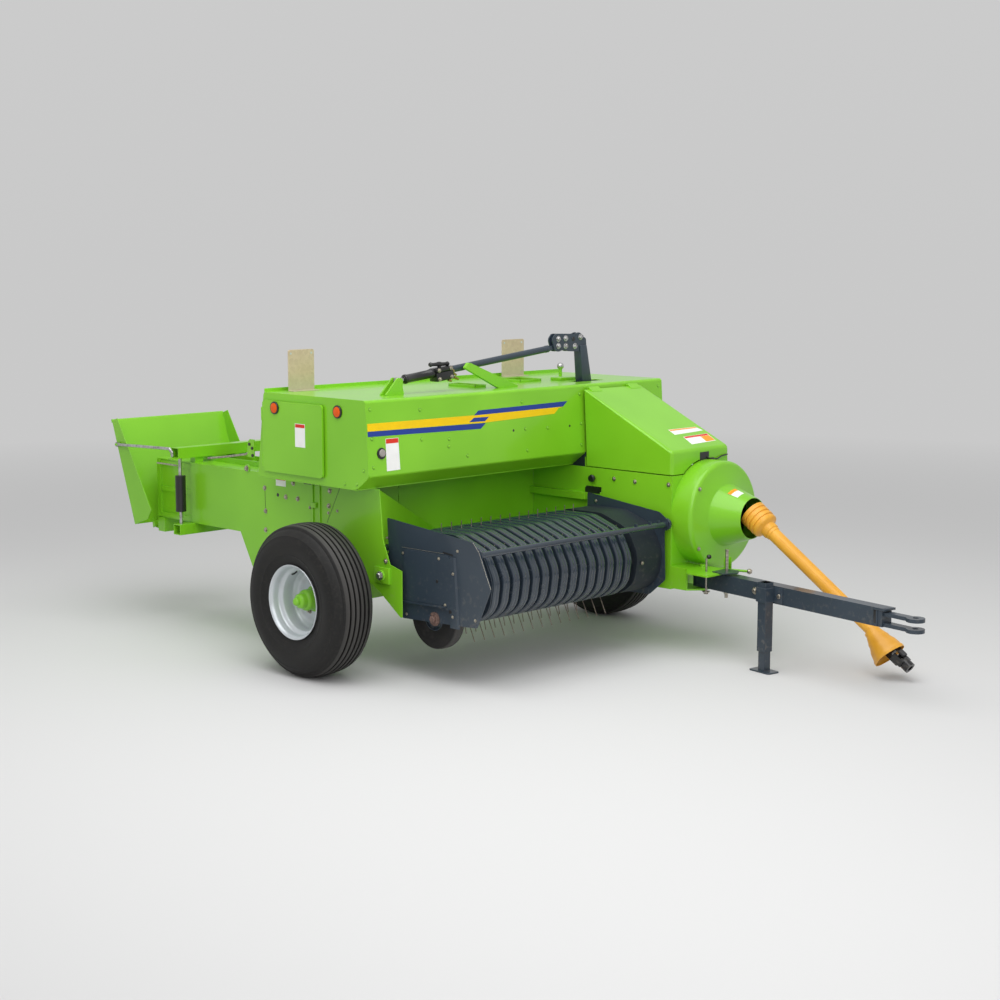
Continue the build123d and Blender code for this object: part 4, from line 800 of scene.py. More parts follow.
bandPath = filleted(bandLook["path"], bandLook["bend"], 8)
bm = bmesh.new()
for number in range(bandLook["count"]):
    addBand(bm, bandPath, bandLook["first"] + number * bandLook["pitch"])
dx, dz = bandLook["railIn"]
for (x, z), radius in zip((bandPath[0], bandPath[-1]), bandLook["rails"]):
    addRod(bm, [at(x + dx, y, z + dz) for y in bandLook["railSides"]], radius, 20)
addPlate(bm, upright(bandLook["drumAt"], bandPath), bandLook["drum"])
register("pickup_bands.pressed", bm, "pickup", "glossySlate", ["pickup_bands"])
# the drive case takes the darker slate, whose darkness is painted shade
easedCopy("pickup_drive_case", "dullSlate", 0.0015)

reelLook = {
    "x": 0.6, "z": 0.52, "bar": 0.15, "tip": 0.34, "reach": 0.25,
    "rows": [(28, 58), (118, 98), (208, 291), (298, 305)],   # where a bar stands and its tines point, degrees
    "tube": 0.028, "shaft": 0.015, "rod": 0.012, "insetRight": 0.017, "insetLeft": 0.046,
    "disc": [(0.026, 0.0), (0.148, 0.0), (0.15, 0.001), (0.15, 0.004), (0.148, 0.005), (0.026, 0.005)],
    "tine": 0.0028, "coil": 0.0155, "turns": 2.4, "coilLong": 0.012,
    "sweep": 0.01,          # how far a tine's tip trails
}


def heading(angle):
    # unit vector in X and Z
    return Vector((math.cos(math.radians(angle)), 0, math.sin(math.radians(angle))))


def across(place, y):
    return Vector((place.x, y, place.z))


def tineLong(lean):
    # how long a tine can be before its tip leaves the reel's circle
    bar = reelLook["bar"]
    reach = math.sqrt(reelLook["tip"] ** 2 - (bar * math.sin(lean)) ** 2) - bar * math.cos(lean)
    return min(reach, reelLook["reach"]) - 0.001


def addTine(bm, hub, out, trail, long):
    # a coil round the bar, then the tine itself
    look = reelLook
    steps = int(look["turns"] * 8)
    points = []
    for k in range(steps + 1):
        a = 2 * math.pi * (k / 8 - look["turns"])
        points.append(hub + (trail * math.cos(a) + out * math.sin(a)) * look["coil"]
                      + Vector((0, (k / steps - 1) * look["coilLong"], 0)))
    for share in (0.25, 0.5, 0.75, 1.0):
        aside = look["coil"] * (1 - share) - look["sweep"] * share * share
        points.append(hub + out * long * share + trail * aside)
    addRod(bm, points, look["tine"], 8)


low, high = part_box("tine_reel")
reelAt = at(reelLook["x"], 0, reelLook["z"])
right = low.y + reelLook["insetRight"]
left = high.y - reelLook["insetLeft"]
bars = [(reelAt + heading(stand) * reelLook["bar"], stand, point) for stand, point in reelLook["rows"]]
bm = bmesh.new()
addRod(bm, [across(reelAt, right), across(reelAt, left)], reelLook["tube"], 24)
addRod(bm, [across(reelAt, low.y), across(reelAt, high.y)], reelLook["shaft"], 20)
for y in (right, (right + left) / 2, left - reelLook["disc"][-1][1]):
    addTurned(bm, reelLook["disc"], across(reelAt, y), (0, 1, 0), 48)
for bar, stand, point in bars:
    addRod(bm, [across(bar, right), across(bar, left)], reelLook["rod"], 16)
register("tine_reel.frame", bm, "tine_reel", "slate", ["tine_reel"])
bm = bmesh.new()
for bar, stand, point in bars:
    for number in range(bandLook["count"]):
        hub = across(bar, origin.y + bandLook["first"] + (number + 0.5) * bandLook["pitch"])
        addTine(bm, hub, heading(point), heading(point + 90), tineLong(math.radians(point - stand)))
register("reelTines", bm, "tine_reel", "tine")

barLook = {"radius": 0.017, "cap": [(0.0, 0.0), (0.034, 0.0), (0.035, 0.001), (0.035, 0.013), (0.034, 0.014),
                                    (0.0, 0.014)]}
low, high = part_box("pickup_front_bar")
bar = middle("pickup_front_bar")
barEnd = high.y - barLook["cap"][-1][1]
bm = bmesh.new()
addRod(bm, [across(bar, low.y), across(bar, barEnd)], barLook["radius"], 32)
addTurned(bm, barLook["cap"], across(bar, barEnd), (0, 1, 0), 36)
register("pickup_front_bar.round", bm, "pickup", "glossySlate", ["pickup_front_bar"])

gaugeLook = {
    "tread": [(0.175, 0.018), (0.1735, 0.029), (0.168, 0.036), (0.156, 0.0395), (0.125, 0.0395),
        (0.095, 0.037), (0.072, 0.032)],
    "disc": [(0.074, 0.032), (0.07, 0.033), (0.066, 0.02), (0.056, 0.016), (0.045, 0.018), (0.042, 0.033),
        (0.03, 0.0345), (0.0125, 0.0345)],
}
for name, finish, part in (("gaugeTyre", "rubber", "tread"), ("gaugeDisc", "slate", "disc")):
    single(name, "gauge_wheel", finish, addTurned, mirrored(gaugeLook[part]), middle("gauge_wheel"),
           (0, 1, 0), 72, replaced=["gauge_wheel"])
print("pickup made")


shroudLook = {
    "profile": [(0.317, 0.0), (0.317, 0.119), (0.3158, 0.1265), (0.312, 0.134), (0.3058, 0.14),
        (0.298, 0.1438), (0.29, 0.145), (0.188, 0.1642), (0.182, 0.168), (0.178, 0.176), (0.1235, 0.342),
        (0.1215, 0.348), (0.12, 0.35), (0.1175, 0.3488), (0.119, 0.344), (0.173, 0.176), (0.179, 0.164),
        (0.187, 0.1602), (0.29, 0.141), (0.304, 0.135), (0.311, 0.124), (0.313, 0.119), (0.313, 0.0)],
}
low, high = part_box("flywheel_cover")
drive = Vector((low.x, (low.y + high.y) / 2, (low.z + high.z) / 2))
single("flywheel_cover.spun", "root", "green", addTurned, shroudLook["profile"], drive, forwards, 128,
       replaced=["flywheel_cover"], sharp=25)

guardLook = {
    "slope": 34.5, "joint": (1.4, 0.975, 0.784), "wall": 0.003,
    "upper": [(0.082, -0.055), (0.082, -0.03), (0.076, -0.027), (0.076, -0.019), (0.082, -0.016),
        (0.082, 0.002), (0.076, 0.005), (0.076, 0.013), (0.0815, 0.016), (0.0815, 0.033), (0.0755, 0.036),
        (0.0755, 0.044), (0.08, 0.047), (0.079, 0.062), (0.076, 0.0665), (0.056, 0.076), (0.05, 0.08),
        (0.049, 0.112), (0.047, 0.115), (0.044, 0.116), (0.043, 0.132), (0.0395, 0.135), (0.039, 0.138),
        (0.039, 0.76)],
    "lower": [(0.034, 0.42), (0.034, 0.952)],
    # radius and distance along the outer bell, from its neck
    "bell": [(0.034, 0.001), (0.044, 0.001), (0.046, 0.006), (0.046, 0.022), (0.048, 0.026),
        (0.051, 0.033), (0.059, 0.056), (0.064, 0.064), (0.066, 0.08), (0.075, 0.099), (0.079, 0.105),
        (0.085, 0.128), (0.09, 0.15), (0.0945, 0.157), (0.096, 0.165), (0.096, 0.175)],
    "bellAt": 0.945, "droop": 11.0, "bore": 0.024,
    "clips": 4, "clipDeep": 0.007, "clipTurn": 0.8,     # the mouth of the bell swells at its clips
    "ridges": (38.0, 66.0, 94.0), "ridge": 0.0012, "ridgeOut": 0.0388, "ridgeFrom": 0.16, "ridgeTo": 0.758,
}


def sloping(degrees):
    # unit vector that runs forwards and down
    return Vector((math.cos(math.radians(degrees)), 0, -math.sin(math.radians(degrees))))


shaftLine = sloping(guardLook["slope"])
shaftJoint = at(*guardLook["joint"])


def addBell(bm, centre, along):
    # a turned shell whose wide end swells and shrinks round its rim
    look = guardLook
    side = Vector((0, 1, 0))
    up = side.cross(along)
    inner = [(max(radius - look["wall"], look["bore"]), offset) for radius, offset in reversed(look["bell"])]
    outline = look["bell"] + inner
    far = look["bell"][-1][1]
    rings = []
    for angle in turns(72):
        out = up * math.cos(angle) + side * math.sin(angle)
        dip = (0.5 - 0.5 * math.cos(look["clips"] * angle + look["clipTurn"])) ** 1.5 * look["clipDeep"]
        rings.append([centre + out * (radius - dip * (offset / far) ** 2) + along * offset
                      for radius, offset in outline])
    addRings(bm, rings, wrap=True)


def addRidges(bm):
    # low seams along the upper guard
    look = guardLook
    up = rightward.cross(shaftLine)
    up = up if up.z > 0 else -up
    for angle in look["ridges"]:
        turn = math.radians(angle)
        foot = shaftJoint + (rightward * math.cos(turn) + up * math.sin(turn)) * look["ridgeOut"]
        ends = [foot + shaftLine * distance for distance in (look["ridgeFrom"], look["ridgeTo"])]
        addRod(bm, ends, look["ridge"], 6)


for part in ("upper", "lower"):
    profile = guardLook[part]
    inner = [(radius - guardLook["wall"], offset) for radius, offset in reversed(profile)]
    bm = bmesh.new()
    addTurned(bm, profile + inner, shaftJoint, shaftLine, 72)
    if part == "upper":
        addRidges(bm)
    else:
        bellLine = sloping(guardLook["slope"] + guardLook["droop"])
        addBell(bm, shaftJoint + shaftLine * guardLook["bellAt"], bellLine)
    node = "driveline_" + part + "_guard"
    register(node + ".moulded", bm, "driveline_" + part, "plastic", [node], sharp=35)
print("driveline made")


for node, finish in (("tension_springs", "black"), ("chute_stay", "steel")):
    easedCopy(node, finish, 0.0012)
springLook = {"x": -1.5, "sides": (-1.005, -0.383), "rod": 0.0108,
              "spans": ((0.658, 0.7345), (0.9585, 1.063))}     # bright rods below and above each spring
bm = bmesh.new()
for y in springLook["sides"]:
    for span in springLook["spans"]:
        addRod(bm, [at(springLook["x"], y, z) for z in span], springLook["rod"], 20)
register("springRods", bm, "root", "steel")


feederLook = {
    "ball": (0.1, -0.65, 1.599), "pin": (0.1, 0.662, 1.742),
    "ram": [(0.0, 0.044), (0.015, 0.044), (0.016, 0.05), (0.025, 0.053), (0.027, 0.056), (0.027, 0.068),
        (0.0245, 0.071), (0.0245, 0.244), (0.027, 0.247), (0.027, 0.264), (0.025, 0.269), (0.019, 0.27),
        (0.0, 0.27)],
    "ballEye": [(0.0085, -0.009), (0.018, -0.009), (0.019, -0.008)],
    "neck": (0.014, 0.05), "neckThick": 0.0095, "nut": (0.03, 0.042), "nutThick": 0.014,
    "rod": 0.02, "rodFrom": 0.2, "stem": 0.09, "stemGap": 0.016, "stemWide": 0.0196, "stemTall": 0.029,
    "collarBack": 0.022,
    "pinEye": [(0.0142, -0.0098), (0.025, -0.0098), (0.026, -0.0088)],
    "collar": [(0.0, 0.0), (0.0205, 0.0), (0.0215, 0.001), (0.0215, 0.022), (0.018, 0.03), (0.0, 0.03)],
}
clampLook = {
    "first": 0.276, "last": 0.41, "half": 0.033, "jaws": ((-0.05, 0.001), (0.003, 0.026)), "edge": 0.006,
    "ringBack": 0.016, "stud": (0.018, 0.042), "studThick": 0.011, "knobUp": 0.044, "unionThick": 0.013,
    "ring": [(0.0, 0.0), (0.023, 0.0), (0.024, 0.002), (0.024, 0.014), (0.022, 0.018), (0.0, 0.018)],
    "knobAt": 0.328,
    "knob": [(0.0, -0.075), (0.01, -0.074), (0.014, -0.066), (0.01, -0.05), (0.011, -0.02),
        (0.0145, -0.008)],
    "bolt": 0.0085, "boltIn": 0.02, "boltRows": (0.014, -0.036),
    # distance along the rod, height off it and length
    "fittings": [(0.414, -0.02, 0.03), (0.424, -0.046, 0.034), (0.38, -0.054, 0.022)],
    "fittingAt": 0.012, "fitting": (0.0085, 0.006), "union": [(0.408, -0.006), (0.422, -0.01)],
}
ball = at(*feederLook["ball"])
pin = at(*feederLook["pin"])
rodLine = (pin - ball).normalized()
rodUp = forwards.cross(rodLine)
rodReach = (pin - ball).length
stemAt = rodReach - feederLook["stem"]


def onRod(distance, out=0.0, forward=0.0):
    return ball + rodLine * distance + rodUp * out + Vector((forward, 0, 0))


def laidAlong(direction, up):
    # a turn that lays a block's X along a direction and its Z near another
    x = Vector(direction).normalized()
    y = Vector(up).cross(x).normalized()
    return Matrix((x, y, x.cross(y))).transposed().to_4x4()


rodTurn = laidAlong(rodLine, rodUp)
single("feeder_ram.barrel", "feeder_ram", "black", addTurned, feederLook["ram"], ball, rodLine, 40,
       replaced=["feeder_ram"], sharp=40)
bm = bmesh.new()
addTurned(bm, mirrored(feederLook["ballEye"]), ball, forwards, 32)
addRod(bm, [onRod(distance) for distance in feederLook["neck"]], feederLook["neckThick"], 20)
addRod(bm, [onRod(distance) for distance in feederLook["nut"]], feederLook["nutThick"], 6)
register("ramNeck", bm, "feeder_ram", "steel", ["feeder_ram"])
bm = bmesh.new()
addRod(bm, [onRod(feederLook["rodFrom"]), onRod(stemAt)], feederLook["rod"], 32)
stem = (feederLook["stem"] - feederLook["stemGap"], feederLook["stemWide"], feederLook["stemTall"])
addBlock(bm, onRod(stemAt + feederLook["stem"] / 2 - 0.010), stem, rodTurn, 0.002)
addTurned(bm, mirrored(feederLook["pinEye"]), pin, forwards, 32)
addTurned(bm, feederLook["collar"], onRod(stemAt - feederLook["collarBack"]), rodLine, 32)
register("feeder_rod.round", bm, "feeder_rod", "slate", ["feeder_rod"])
bm = bmesh.new()
first, last, half = (clampLook[key] for key in ("first", "last", "half"))
for low, high in clampLook["jaws"]:
    size = (last - first, 2 * half, high - low)
    addBlock(bm, onRod((first + last) / 2, (low + high) / 2), size, rodTurn, clampLook["edge"])
addTurned(bm, clampLook["ring"], onRod(first - clampLook["ringBack"]), rodLine, 32)
addRod(bm, [onRod(clampLook["knobAt"], out) for out in clampLook["stud"]], clampLook["studThick"], 16)
addTurned(bm, mirrored(clampLook["knob"]), onRod(clampLook["knobAt"], clampLook["knobUp"]), (0, 1, 0), 20)
register("rodClamp", bm, "feeder_rod", "black", ["feeder_rod"], sharp=40)
bm = bmesh.new()
for distance in (first + clampLook["boltIn"], last - clampLook["boltIn"]):
    for out in clampLook["boltRows"]:
        addBolt(bm, onRod(distance, out, half + 0.001), forwards, clampLook["bolt"])
register("clampBolts", bm, "feeder_rod", "bolt")
bm = bmesh.new()
wide, narrow = clampLook["fitting"]
for distance, out, long in clampLook["fittings"]:
    start = onRod(distance, out, clampLook["fittingAt"])
    step = rodLine * long
    addRod(bm, [start, start + step * 0.6 - rodUp * long * 0.3], wide, 6)
    addRod(bm, [start + step * 0.3, start + step - rodUp * long * 0.5], narrow, 12)
union = [onRod(distance, out, clampLook["fittingAt"]) for distance, out in clampLook["union"]]
addRod(bm, union, clampLook["unionThick"], 6)
register("rodFittings", bm, "feeder_rod", "brass")

rockerLook = {
    "bolt": 0.013, "back": 0.08, "front": 0.12,
    "frontBolts": [(0.647, 1.79), (0.712, 1.792), (0.845, 1.796), (0.647, 1.747), (0.795, 1.742)],
    "backBolts": [(0.647, 1.79), (0.712, 1.79), (0.845, 1.79)], "lastBolt": (0.712, 1.745),
    # the channel: how far up each end lies from the pivot, and half its width there
    "low": (0.266, 0.043), "high": (0.5, 0.029), "sides": (0.068, 0.13), "lean": 8.5,
    "pivot": (0.94, 1.25), "channelEdge": 0.005, "bush": (0.12, 0.781, 1.785), "bushWide": 0.014,
}
x = rockerLook["front"]
bm = bmesh.new()
addBolts(bm, [at(x, y, z) for y, z in rockerLook["frontBolts"]], forwards, rockerLook["bolt"])
places = [at(rockerLook["back"], y, z) for y, z in rockerLook["backBolts"]]
addBolts(bm, places, -forwards, rockerLook["bolt"])
addBolt(bm, at(x, *rockerLook["lastBolt"]), forwards, rockerLook["bolt"])
register("rockerBolts", bm, "feeder_rocker", "steel")
lean = math.radians(rockerLook["lean"])
rear, front = rockerLook["sides"]
rings = []
for up, half in (rockerLook["low"], rockerLook["high"]):
    y = rockerLook["pivot"][0] - up * math.sin(lean)
    z = rockerLook["pivot"][1] + up * math.cos(lean)
    right, left = y - half, y + half
    rings.append([at(rear, right, z), at(front, right, z), at(front, left, z), at(rear, left, z)])
bm = bmesh.new()
addRings(bm, rings)
bmesh.ops.bevel(bm, geom=list(bm.edges), offset=rockerLook["channelEdge"], segments=3, profile=0.5,
                affect="EDGES")
register("rockerChannel", bm, "feeder_rocker", "slate")
single("rockerBush", "feeder_rocker", "black", addDisc, at(*rockerLook["bush"]), forwards,
       rockerLook["bushWide"], 0.003)

tripLook = {
    "foot": (-0.2, 1.01, 1.523), "stem": 0.011, "ball": 0.022, "ballUp": 0.072,
    "pad": (-0.045, 0.885, 1.532), "padSize": (0.09, 0.17, 0.018),
    # slots for the feeder's tines, from rear to front and from right to left
    "slots": [(-0.25, -0.075, 0.516, 0.69), (-0.166, 0.05, 0.008, 0.085)],
    "lip": 0.004, "lipAt": 1.53, "lipTall": 0.018,
}


def addLips(bm, rear, front, right, left):
    # four folded lips round a slot in the hood's top
    lip, z, tall = tripLook["lip"], tripLook["lipAt"], tripLook["lipTall"]
    for x in (rear - lip, front + lip):
        addBlock(bm, at(x, (right + left) / 2, z), (lip, left - right + 3 * lip, tall), bevel=0.001)
    for y in (right - lip, left + lip):
        addBlock(bm, at((rear + front) / 2, y, z), (front - rear + 3 * lip, lip, tall), bevel=0.001)


foot = at(*tripLook["foot"])
bm = bmesh.new()
addRod(bm, [foot, foot + upwards * (tripLook["ballUp"] - 0.014)], tripLook["stem"], 16)
addBlock(bm, at(*tripLook["pad"]), tripLook["padSize"], bevel=0.003)
for slot in tripLook["slots"]:
    addLips(bm, *slot)
register("tripStem", bm, "root", "green")
ballAt = foot + upwards * tripLook["ballUp"]
radius = tripLook["ball"]
circle = [(radius * math.sin(math.pi * k / 12), -radius * math.cos(math.pi * k / 12)) for k in range(13)]
single("tripBall", "root", "steel", addTurned, circle, ballAt, upwards, 24, False)
print("feeder drive made")


plateLook = {       # what is fixed to the pickup's two end plates, with thin bright edge lines that are partly painted highlight
    "rib": [(0.767, 0.813, 0.713), (0.772, 0.841, 0.333)], "ribSides": (-0.8795, -0.8915), "ribLean": 0.007,
    "strip": [(0.405, 0.43), (0.42, 0.42), (0.753, 0.437), (0.753, 0.445)],
    "stripSides": (-0.8925, -0.8985), "tabs": (0.356, 0.479, 0.555), "tab": (0.022, 0.006, 0.02),
    "rightBolts": [(0.395, -0.88, 0.69), (0.693, -0.892, 0.696), (0.825, -0.88, 0.75),
        (0.801, -0.8915, 0.627), (0.404, -0.88, 0.43), (0.741, -0.892, 0.451), (0.797, -0.8915, 0.394),
        (0.958, -0.88, 0.397), (0.266, -0.88, 0.758), (0.422, -0.88, 0.356)],
    "rightBolt": 0.0062, "leftBolts": [(0.463, 0.834), (0.496, 0.77)], "leftBolt": 0.007, "leftFace": 0.6145,
    "caseBoltAt": (0.985, 0.435, 0.542), "caseBolt": 0.0075, "wire": 0.001,
    "edgeWearAndHighlights": [[(0.387, 0.7215), (0.72, 0.7245)], [(0.941, 0.8085), (0.9865, 0.761), (1.0735, 0.578)]],
    "slot": [(0.713, 0.736), (0.79, 0.728), (0.79, 0.719), (0.713, 0.727)],
    "holes": [((0.679, -0.892, 0.571), 0.009), ((0.78, -0.8915, 0.42), 0.011)], "holeHigh": 0.002,
    "tabUp": 0.02,
    "face": -0.88, "gaugeAxle": (0.648, 0.361), "gaugeBoss": 0.038, "gaugeBossOut": 0.007, "gaugeNut": 0.02,
}
spindleLook = {"at": (0.29, -0.938, 0.56), "plate": (0.12, 0.016, 0.09), "boss": 0.03, "bossOut": 0.01,
               "nut": 0.017}
face = plateLook["face"]
bm = bmesh.new()
foot, top = plateLook["ribSides"]
lean = plateLook["ribLean"]
addRings(bm, [[at(rear, foot, z), at(rear + lean, top, z), at(front - lean, top, z), at(front, foot, z)]
              for rear, front, z in plateLook["rib"]])
for y in plateLook["tabs"]:
    addBlock(bm, Vector((bar.x, origin.y + y, bar.z + plateLook["tabUp"])), plateLook["tab"])
addRings(bm, [upright(y, plateLook["strip"]) for y in plateLook["stripSides"]])
register("pickupRibs", bm, "pickup", "slate")
bm = bmesh.new()
addBolts(bm, [at(*place) for place in plateLook["rightBolts"]], rightward, plateLook["rightBolt"])
addBolts(bm, upright(plateLook["leftFace"], plateLook["leftBolts"]), rightward, plateLook["leftBolt"])
addBolt(bm, at(*plateLook["caseBoltAt"]), forwards, plateLook["caseBolt"])
# thin bright rods along the plate's top and front edges: partly worn bare edge, partly painted highlight of
# the rounded edge
for points in plateLook["edgeWearAndHighlights"]:
    addRod(bm, upright(face, points), plateLook["wire"], 8)
register("pickupBoltsAndEdgeHighlights", bm, "pickup", "bolt")
x, y, z = spindleLook["at"]
bm = bmesh.new()
addBlock(bm, at(x, y, z), spindleLook["plate"], bevel=0.003)
y -= spindleLook["plate"][1] / 2
addDisc(bm, at(x, y, z), rightward, spindleLook["boss"], spindleLook["bossOut"])
register("spindleBracket", bm, "root", "green")
single("spindleNut", "root", "steel", addBolt, at(x, y - spindleLook["bossOut"], z), rightward,
       spindleLook["nut"])
bm = bmesh.new()
addFilm(bm, upright(face, plateLook["slot"]), rightward)
for place, radius in plateLook["holes"]:
    addDisc(bm, at(*place), rightward, radius, plateLook["holeHigh"])
register("pickupHoles", bm, "pickup", "black")
x, z = plateLook["gaugeAxle"]
bm = bmesh.new()
addDisc(bm, at(x, face, z), rightward, plateLook["gaugeBoss"], plateLook["gaugeBossOut"])
addBolt(bm, at(x, face - plateLook["gaugeBossOut"], z), rightward, plateLook["gaugeNut"])
register("gaugeAxleNut", bm, "pickup", "rust")


rivetLook = {
    "front": [(-1.028, 1.474), (-1.024, 1.316), (-1.021, 1.162), (-0.667, 1.451), (0.137, 1.448),
        (0.157, 1.289), (0.348, 1.282), (-0.664, 1.288), (-0.319, 1.17), (0.168, 1.162), (-0.457, 1.275),
        (-0.462, 1.234), (0.638, 1.466), (0.644, 1.288), (0.638, 1.16), (1.372, 1.477), (1.372, 1.3),
        (1.372, 1.16)],
    "end": [(0.285, 1.145), (0.128, 1.061), (0.228, 1.067)], "radius": 0.0085,
    "holes": [(0.058, 1.287), (0.538, 1.281)],
    # radius and height of the dark rings, painted shade round the rivets, and of the holes
    "gap": (0.01, 0.0008), "hole": (0.0075, 0.001), "knobRing": (0.031, 0.006), "plateHole": (0.0065, 0.001),
    "seam": [(1.119, 1.502), (1.121, 1.502), (1.121, 1.486), (1.119, 1.486)],
    "knobHole": (-0.964, 1.234), "knobAt": (-0.962, 1.236),
    "knob": [(0.0, 0.0), (0.018, 0.0), (0.021, 0.004), (0.021, 0.01), (0.018, 0.014), (0.0, 0.015)],
    "plateHoles": (-0.922, -0.773, 0.806, 0.963), "plateHoleAt": (-0.5, 1.738),
}


def onFront(y, z):
    x, top = hoodLook["path"][1]
    return at(x + (top - z) * hoodLook["lean"], y, z)


def onSlope(x, y):
    back, top = coverLook["back"]
    return at(x, y, top - (x - back) * coverLook["fall"])


def onEnd(x, z):
    return at(x, hoodLook["endFace"], z)


def onDoor(x, z):
    return at(x, doorLook["face"], z)


frontOut = Vector((1, 0, hoodLook["lean"])).normalized()
(xa, za), (xb, zb) = coverLook["back"], coverLook["front"]
slopeOut = Vector((za - zb, 0, xb - xa)).normalized()
bm = bmesh.new()
# dark holes, seams and rings; the rings round the rivets are painted shade
holesAndShade = bmesh.new()
rivets = [(onFront(y, z), frontOut) for y, z in rivetLook["front"]]
rivets += [(onEnd(x, z), rightward) for x, z in rivetLook["end"]]
for place, out in rivets:
    addDome(bm, place, out, rivetLook["radius"])
    # each rivet gets a dark ring round its head: painted shade
    addDisc(holesAndShade, place, out, *rivetLook["gap"])
for y, z in rivetLook["holes"]:
    addDisc(holesAndShade, onFront(y, z), frontOut, *rivetLook["hole"])
addFilm(holesAndShade, [onFront(y, z) for y, z in rivetLook["seam"]], frontOut)
addDisc(holesAndShade, onFront(*rivetLook["knobHole"]), frontOut, *rivetLook["knobRing"])
register("hoodRivets", bm, "root", "green")
register("hoodHolesAndShade", holesAndShade, "root", "black")
single("hoodKnob", "root", "knob", addTurned, rivetLook["knob"], onFront(*rivetLook["knobAt"]), frontOut, 28)
bm = bmesh.new()
x, z = rivetLook["plateHoleAt"]
for y in rivetLook["plateHoles"]:
    addDisc(bm, at(x, y, z), forwards, *rivetLook["plateHole"])
register("plateHoles", bm, "root", "silver")

surfaces = {"front": (onFront, frontOut, "root"), "slope": (onSlope, slopeOut, "gear_cover"),
            "door": (onDoor, rightward, "twine_door")}
filmTable = [       # surface, finish, level and corners: stripes first, then blank plates
    ("front", "yellowFilm", 1, [(-1.053, 1.399), (-0.26, 1.395), (-0.255, 1.394), (0.485, 1.4),
        (0.447, 1.392), (0.409, 1.362), (-0.158, 1.348), (-1.053, 1.358)]),
    ("front", "blueFilm", 1, [(-1.053, 1.357), (-0.164, 1.346), (-0.206, 1.315), (-1.053, 1.329)]),
    ("front", "blueFilm", 2, [(-0.296, 1.358), (-0.258, 1.381), (-0.137, 1.379), (-0.171, 1.356)]),
    ("front", "blueFilm", 2, [(-0.255, 1.394), (-0.22, 1.42), (0.525, 1.43), (0.485, 1.4)]),
    ("front", "whiteFilm", 1, [(-0.929, 1.311), (-0.836, 1.311), (-0.833, 1.137), (-0.929, 1.135)]),
    ("front", "redFilm", 2, [(-0.927, 1.309), (-0.838, 1.309), (-0.837, 1.284), (-0.927, 1.284)]),
    ("slope", "whiteFilm", 1, [(0.8, 0.875), (0.8, 1.13), (0.843, 1.153), (0.855, 0.872)]),
    ("slope", "orangeFilm", 2, [(0.803, 0.88), (0.803, 1.126), (0.812, 1.131), (0.815, 0.88)]),
    ("slope", "whiteFilm", 1, [(0.882, 0.915), (0.876, 1.15), (0.952, 1.139), (0.962, 0.9)]),
    ("slope", "redFilm", 2, [(0.884, 0.919), (0.878, 1.146), (0.893, 1.144), (0.9, 0.917)]),
    ("slope", "orangeFilm", 2, [(0.897, 1.06), (0.895, 1.143), (0.948, 1.136), (0.951, 1.05)]),
    ("door", "whiteFilm", 1, [(-0.276, 1.234), (-0.188, 1.234), (-0.188, 1.365), (-0.276, 1.365)]),
    ("door", "redFilm", 2, [(-0.273, 1.343), (-0.191, 1.343), (-0.191, 1.362), (-0.273, 1.362)]),
]
coneLook = {"back": (0.176, 0.1782), "front": (0.342, 0.1237), "angles": (4, 30), "step": 13, "out": 17,
            "label": (0.225, 0.29), "band": 0.022}


def onCone(distance, angle):
    # a point on the flywheel cover's cone; angles run from its top towards the machine's right
    (d0, r0), (d1, r1) = coneLook["back"], coneLook["front"]
    radius = r0 + (r1 - r0) * (distance - d0) / (d1 - d0)
    turn = math.radians(angle)
    return drive + Vector((distance, -radius * math.sin(turn), radius * math.cos(turn)))


films = {"root": {}, "gear_cover": {}, "twine_door": {}}
for surface, finish, level, points in filmTable:
    place, out, body = surfaces[surface]
    addFilm(films[body].setdefault(finish, bmesh.new()), [place(a, b) for a, b in points], out, level)
coneTurn = math.radians(coneLook["out"])
coneOut = Vector((0.31, -math.sin(coneTurn), math.cos(coneTurn)))
low, high = coneLook["label"]
step = coneLook["step"]
for finish, level, a, b in (("whiteFilm", 3, low, high), ("orangeFilm", 4, low, low + coneLook["band"])):
    for angle in range(*coneLook["angles"], step):
        corners = [onCone(a, angle), onCone(b, angle), onCone(b, angle + step), onCone(a, angle + step)]
        addFilm(films["root"].setdefault(finish, bmesh.new()), corners, coneOut, level)
for body, group in films.items():
    for finish, bm in group.items():
        register(body + "." + finish, bm, body, finish)

reflectorLook = {
    "rim": [(0.0, 0.0), (0.036, 0.0), (0.036, 0.007), (0.033, 0.01), (0.029, 0.009), (0.0, 0.007)],
    "lens": [(0.0, 0.005), (0.028, 0.005), (0.028, 0.0105), (0.02, 0.0125), (0.0, 0.0135)],
    "end": (0.076, 1.45), "door": (-0.454, 1.441),
}
for name, body, place in (("end", "root", onEnd), ("door", "twine_door", onDoor)):
    for part, suffix, finish in (("rim", "Rim", "black"), ("lens", "Lens", "lens")):
        single(name + "Reflector" + suffix, body, finish, addTurned, reflectorLook[part],
               place(*reflectorLook[name]), rightward, 40)
print("hood fittings made")


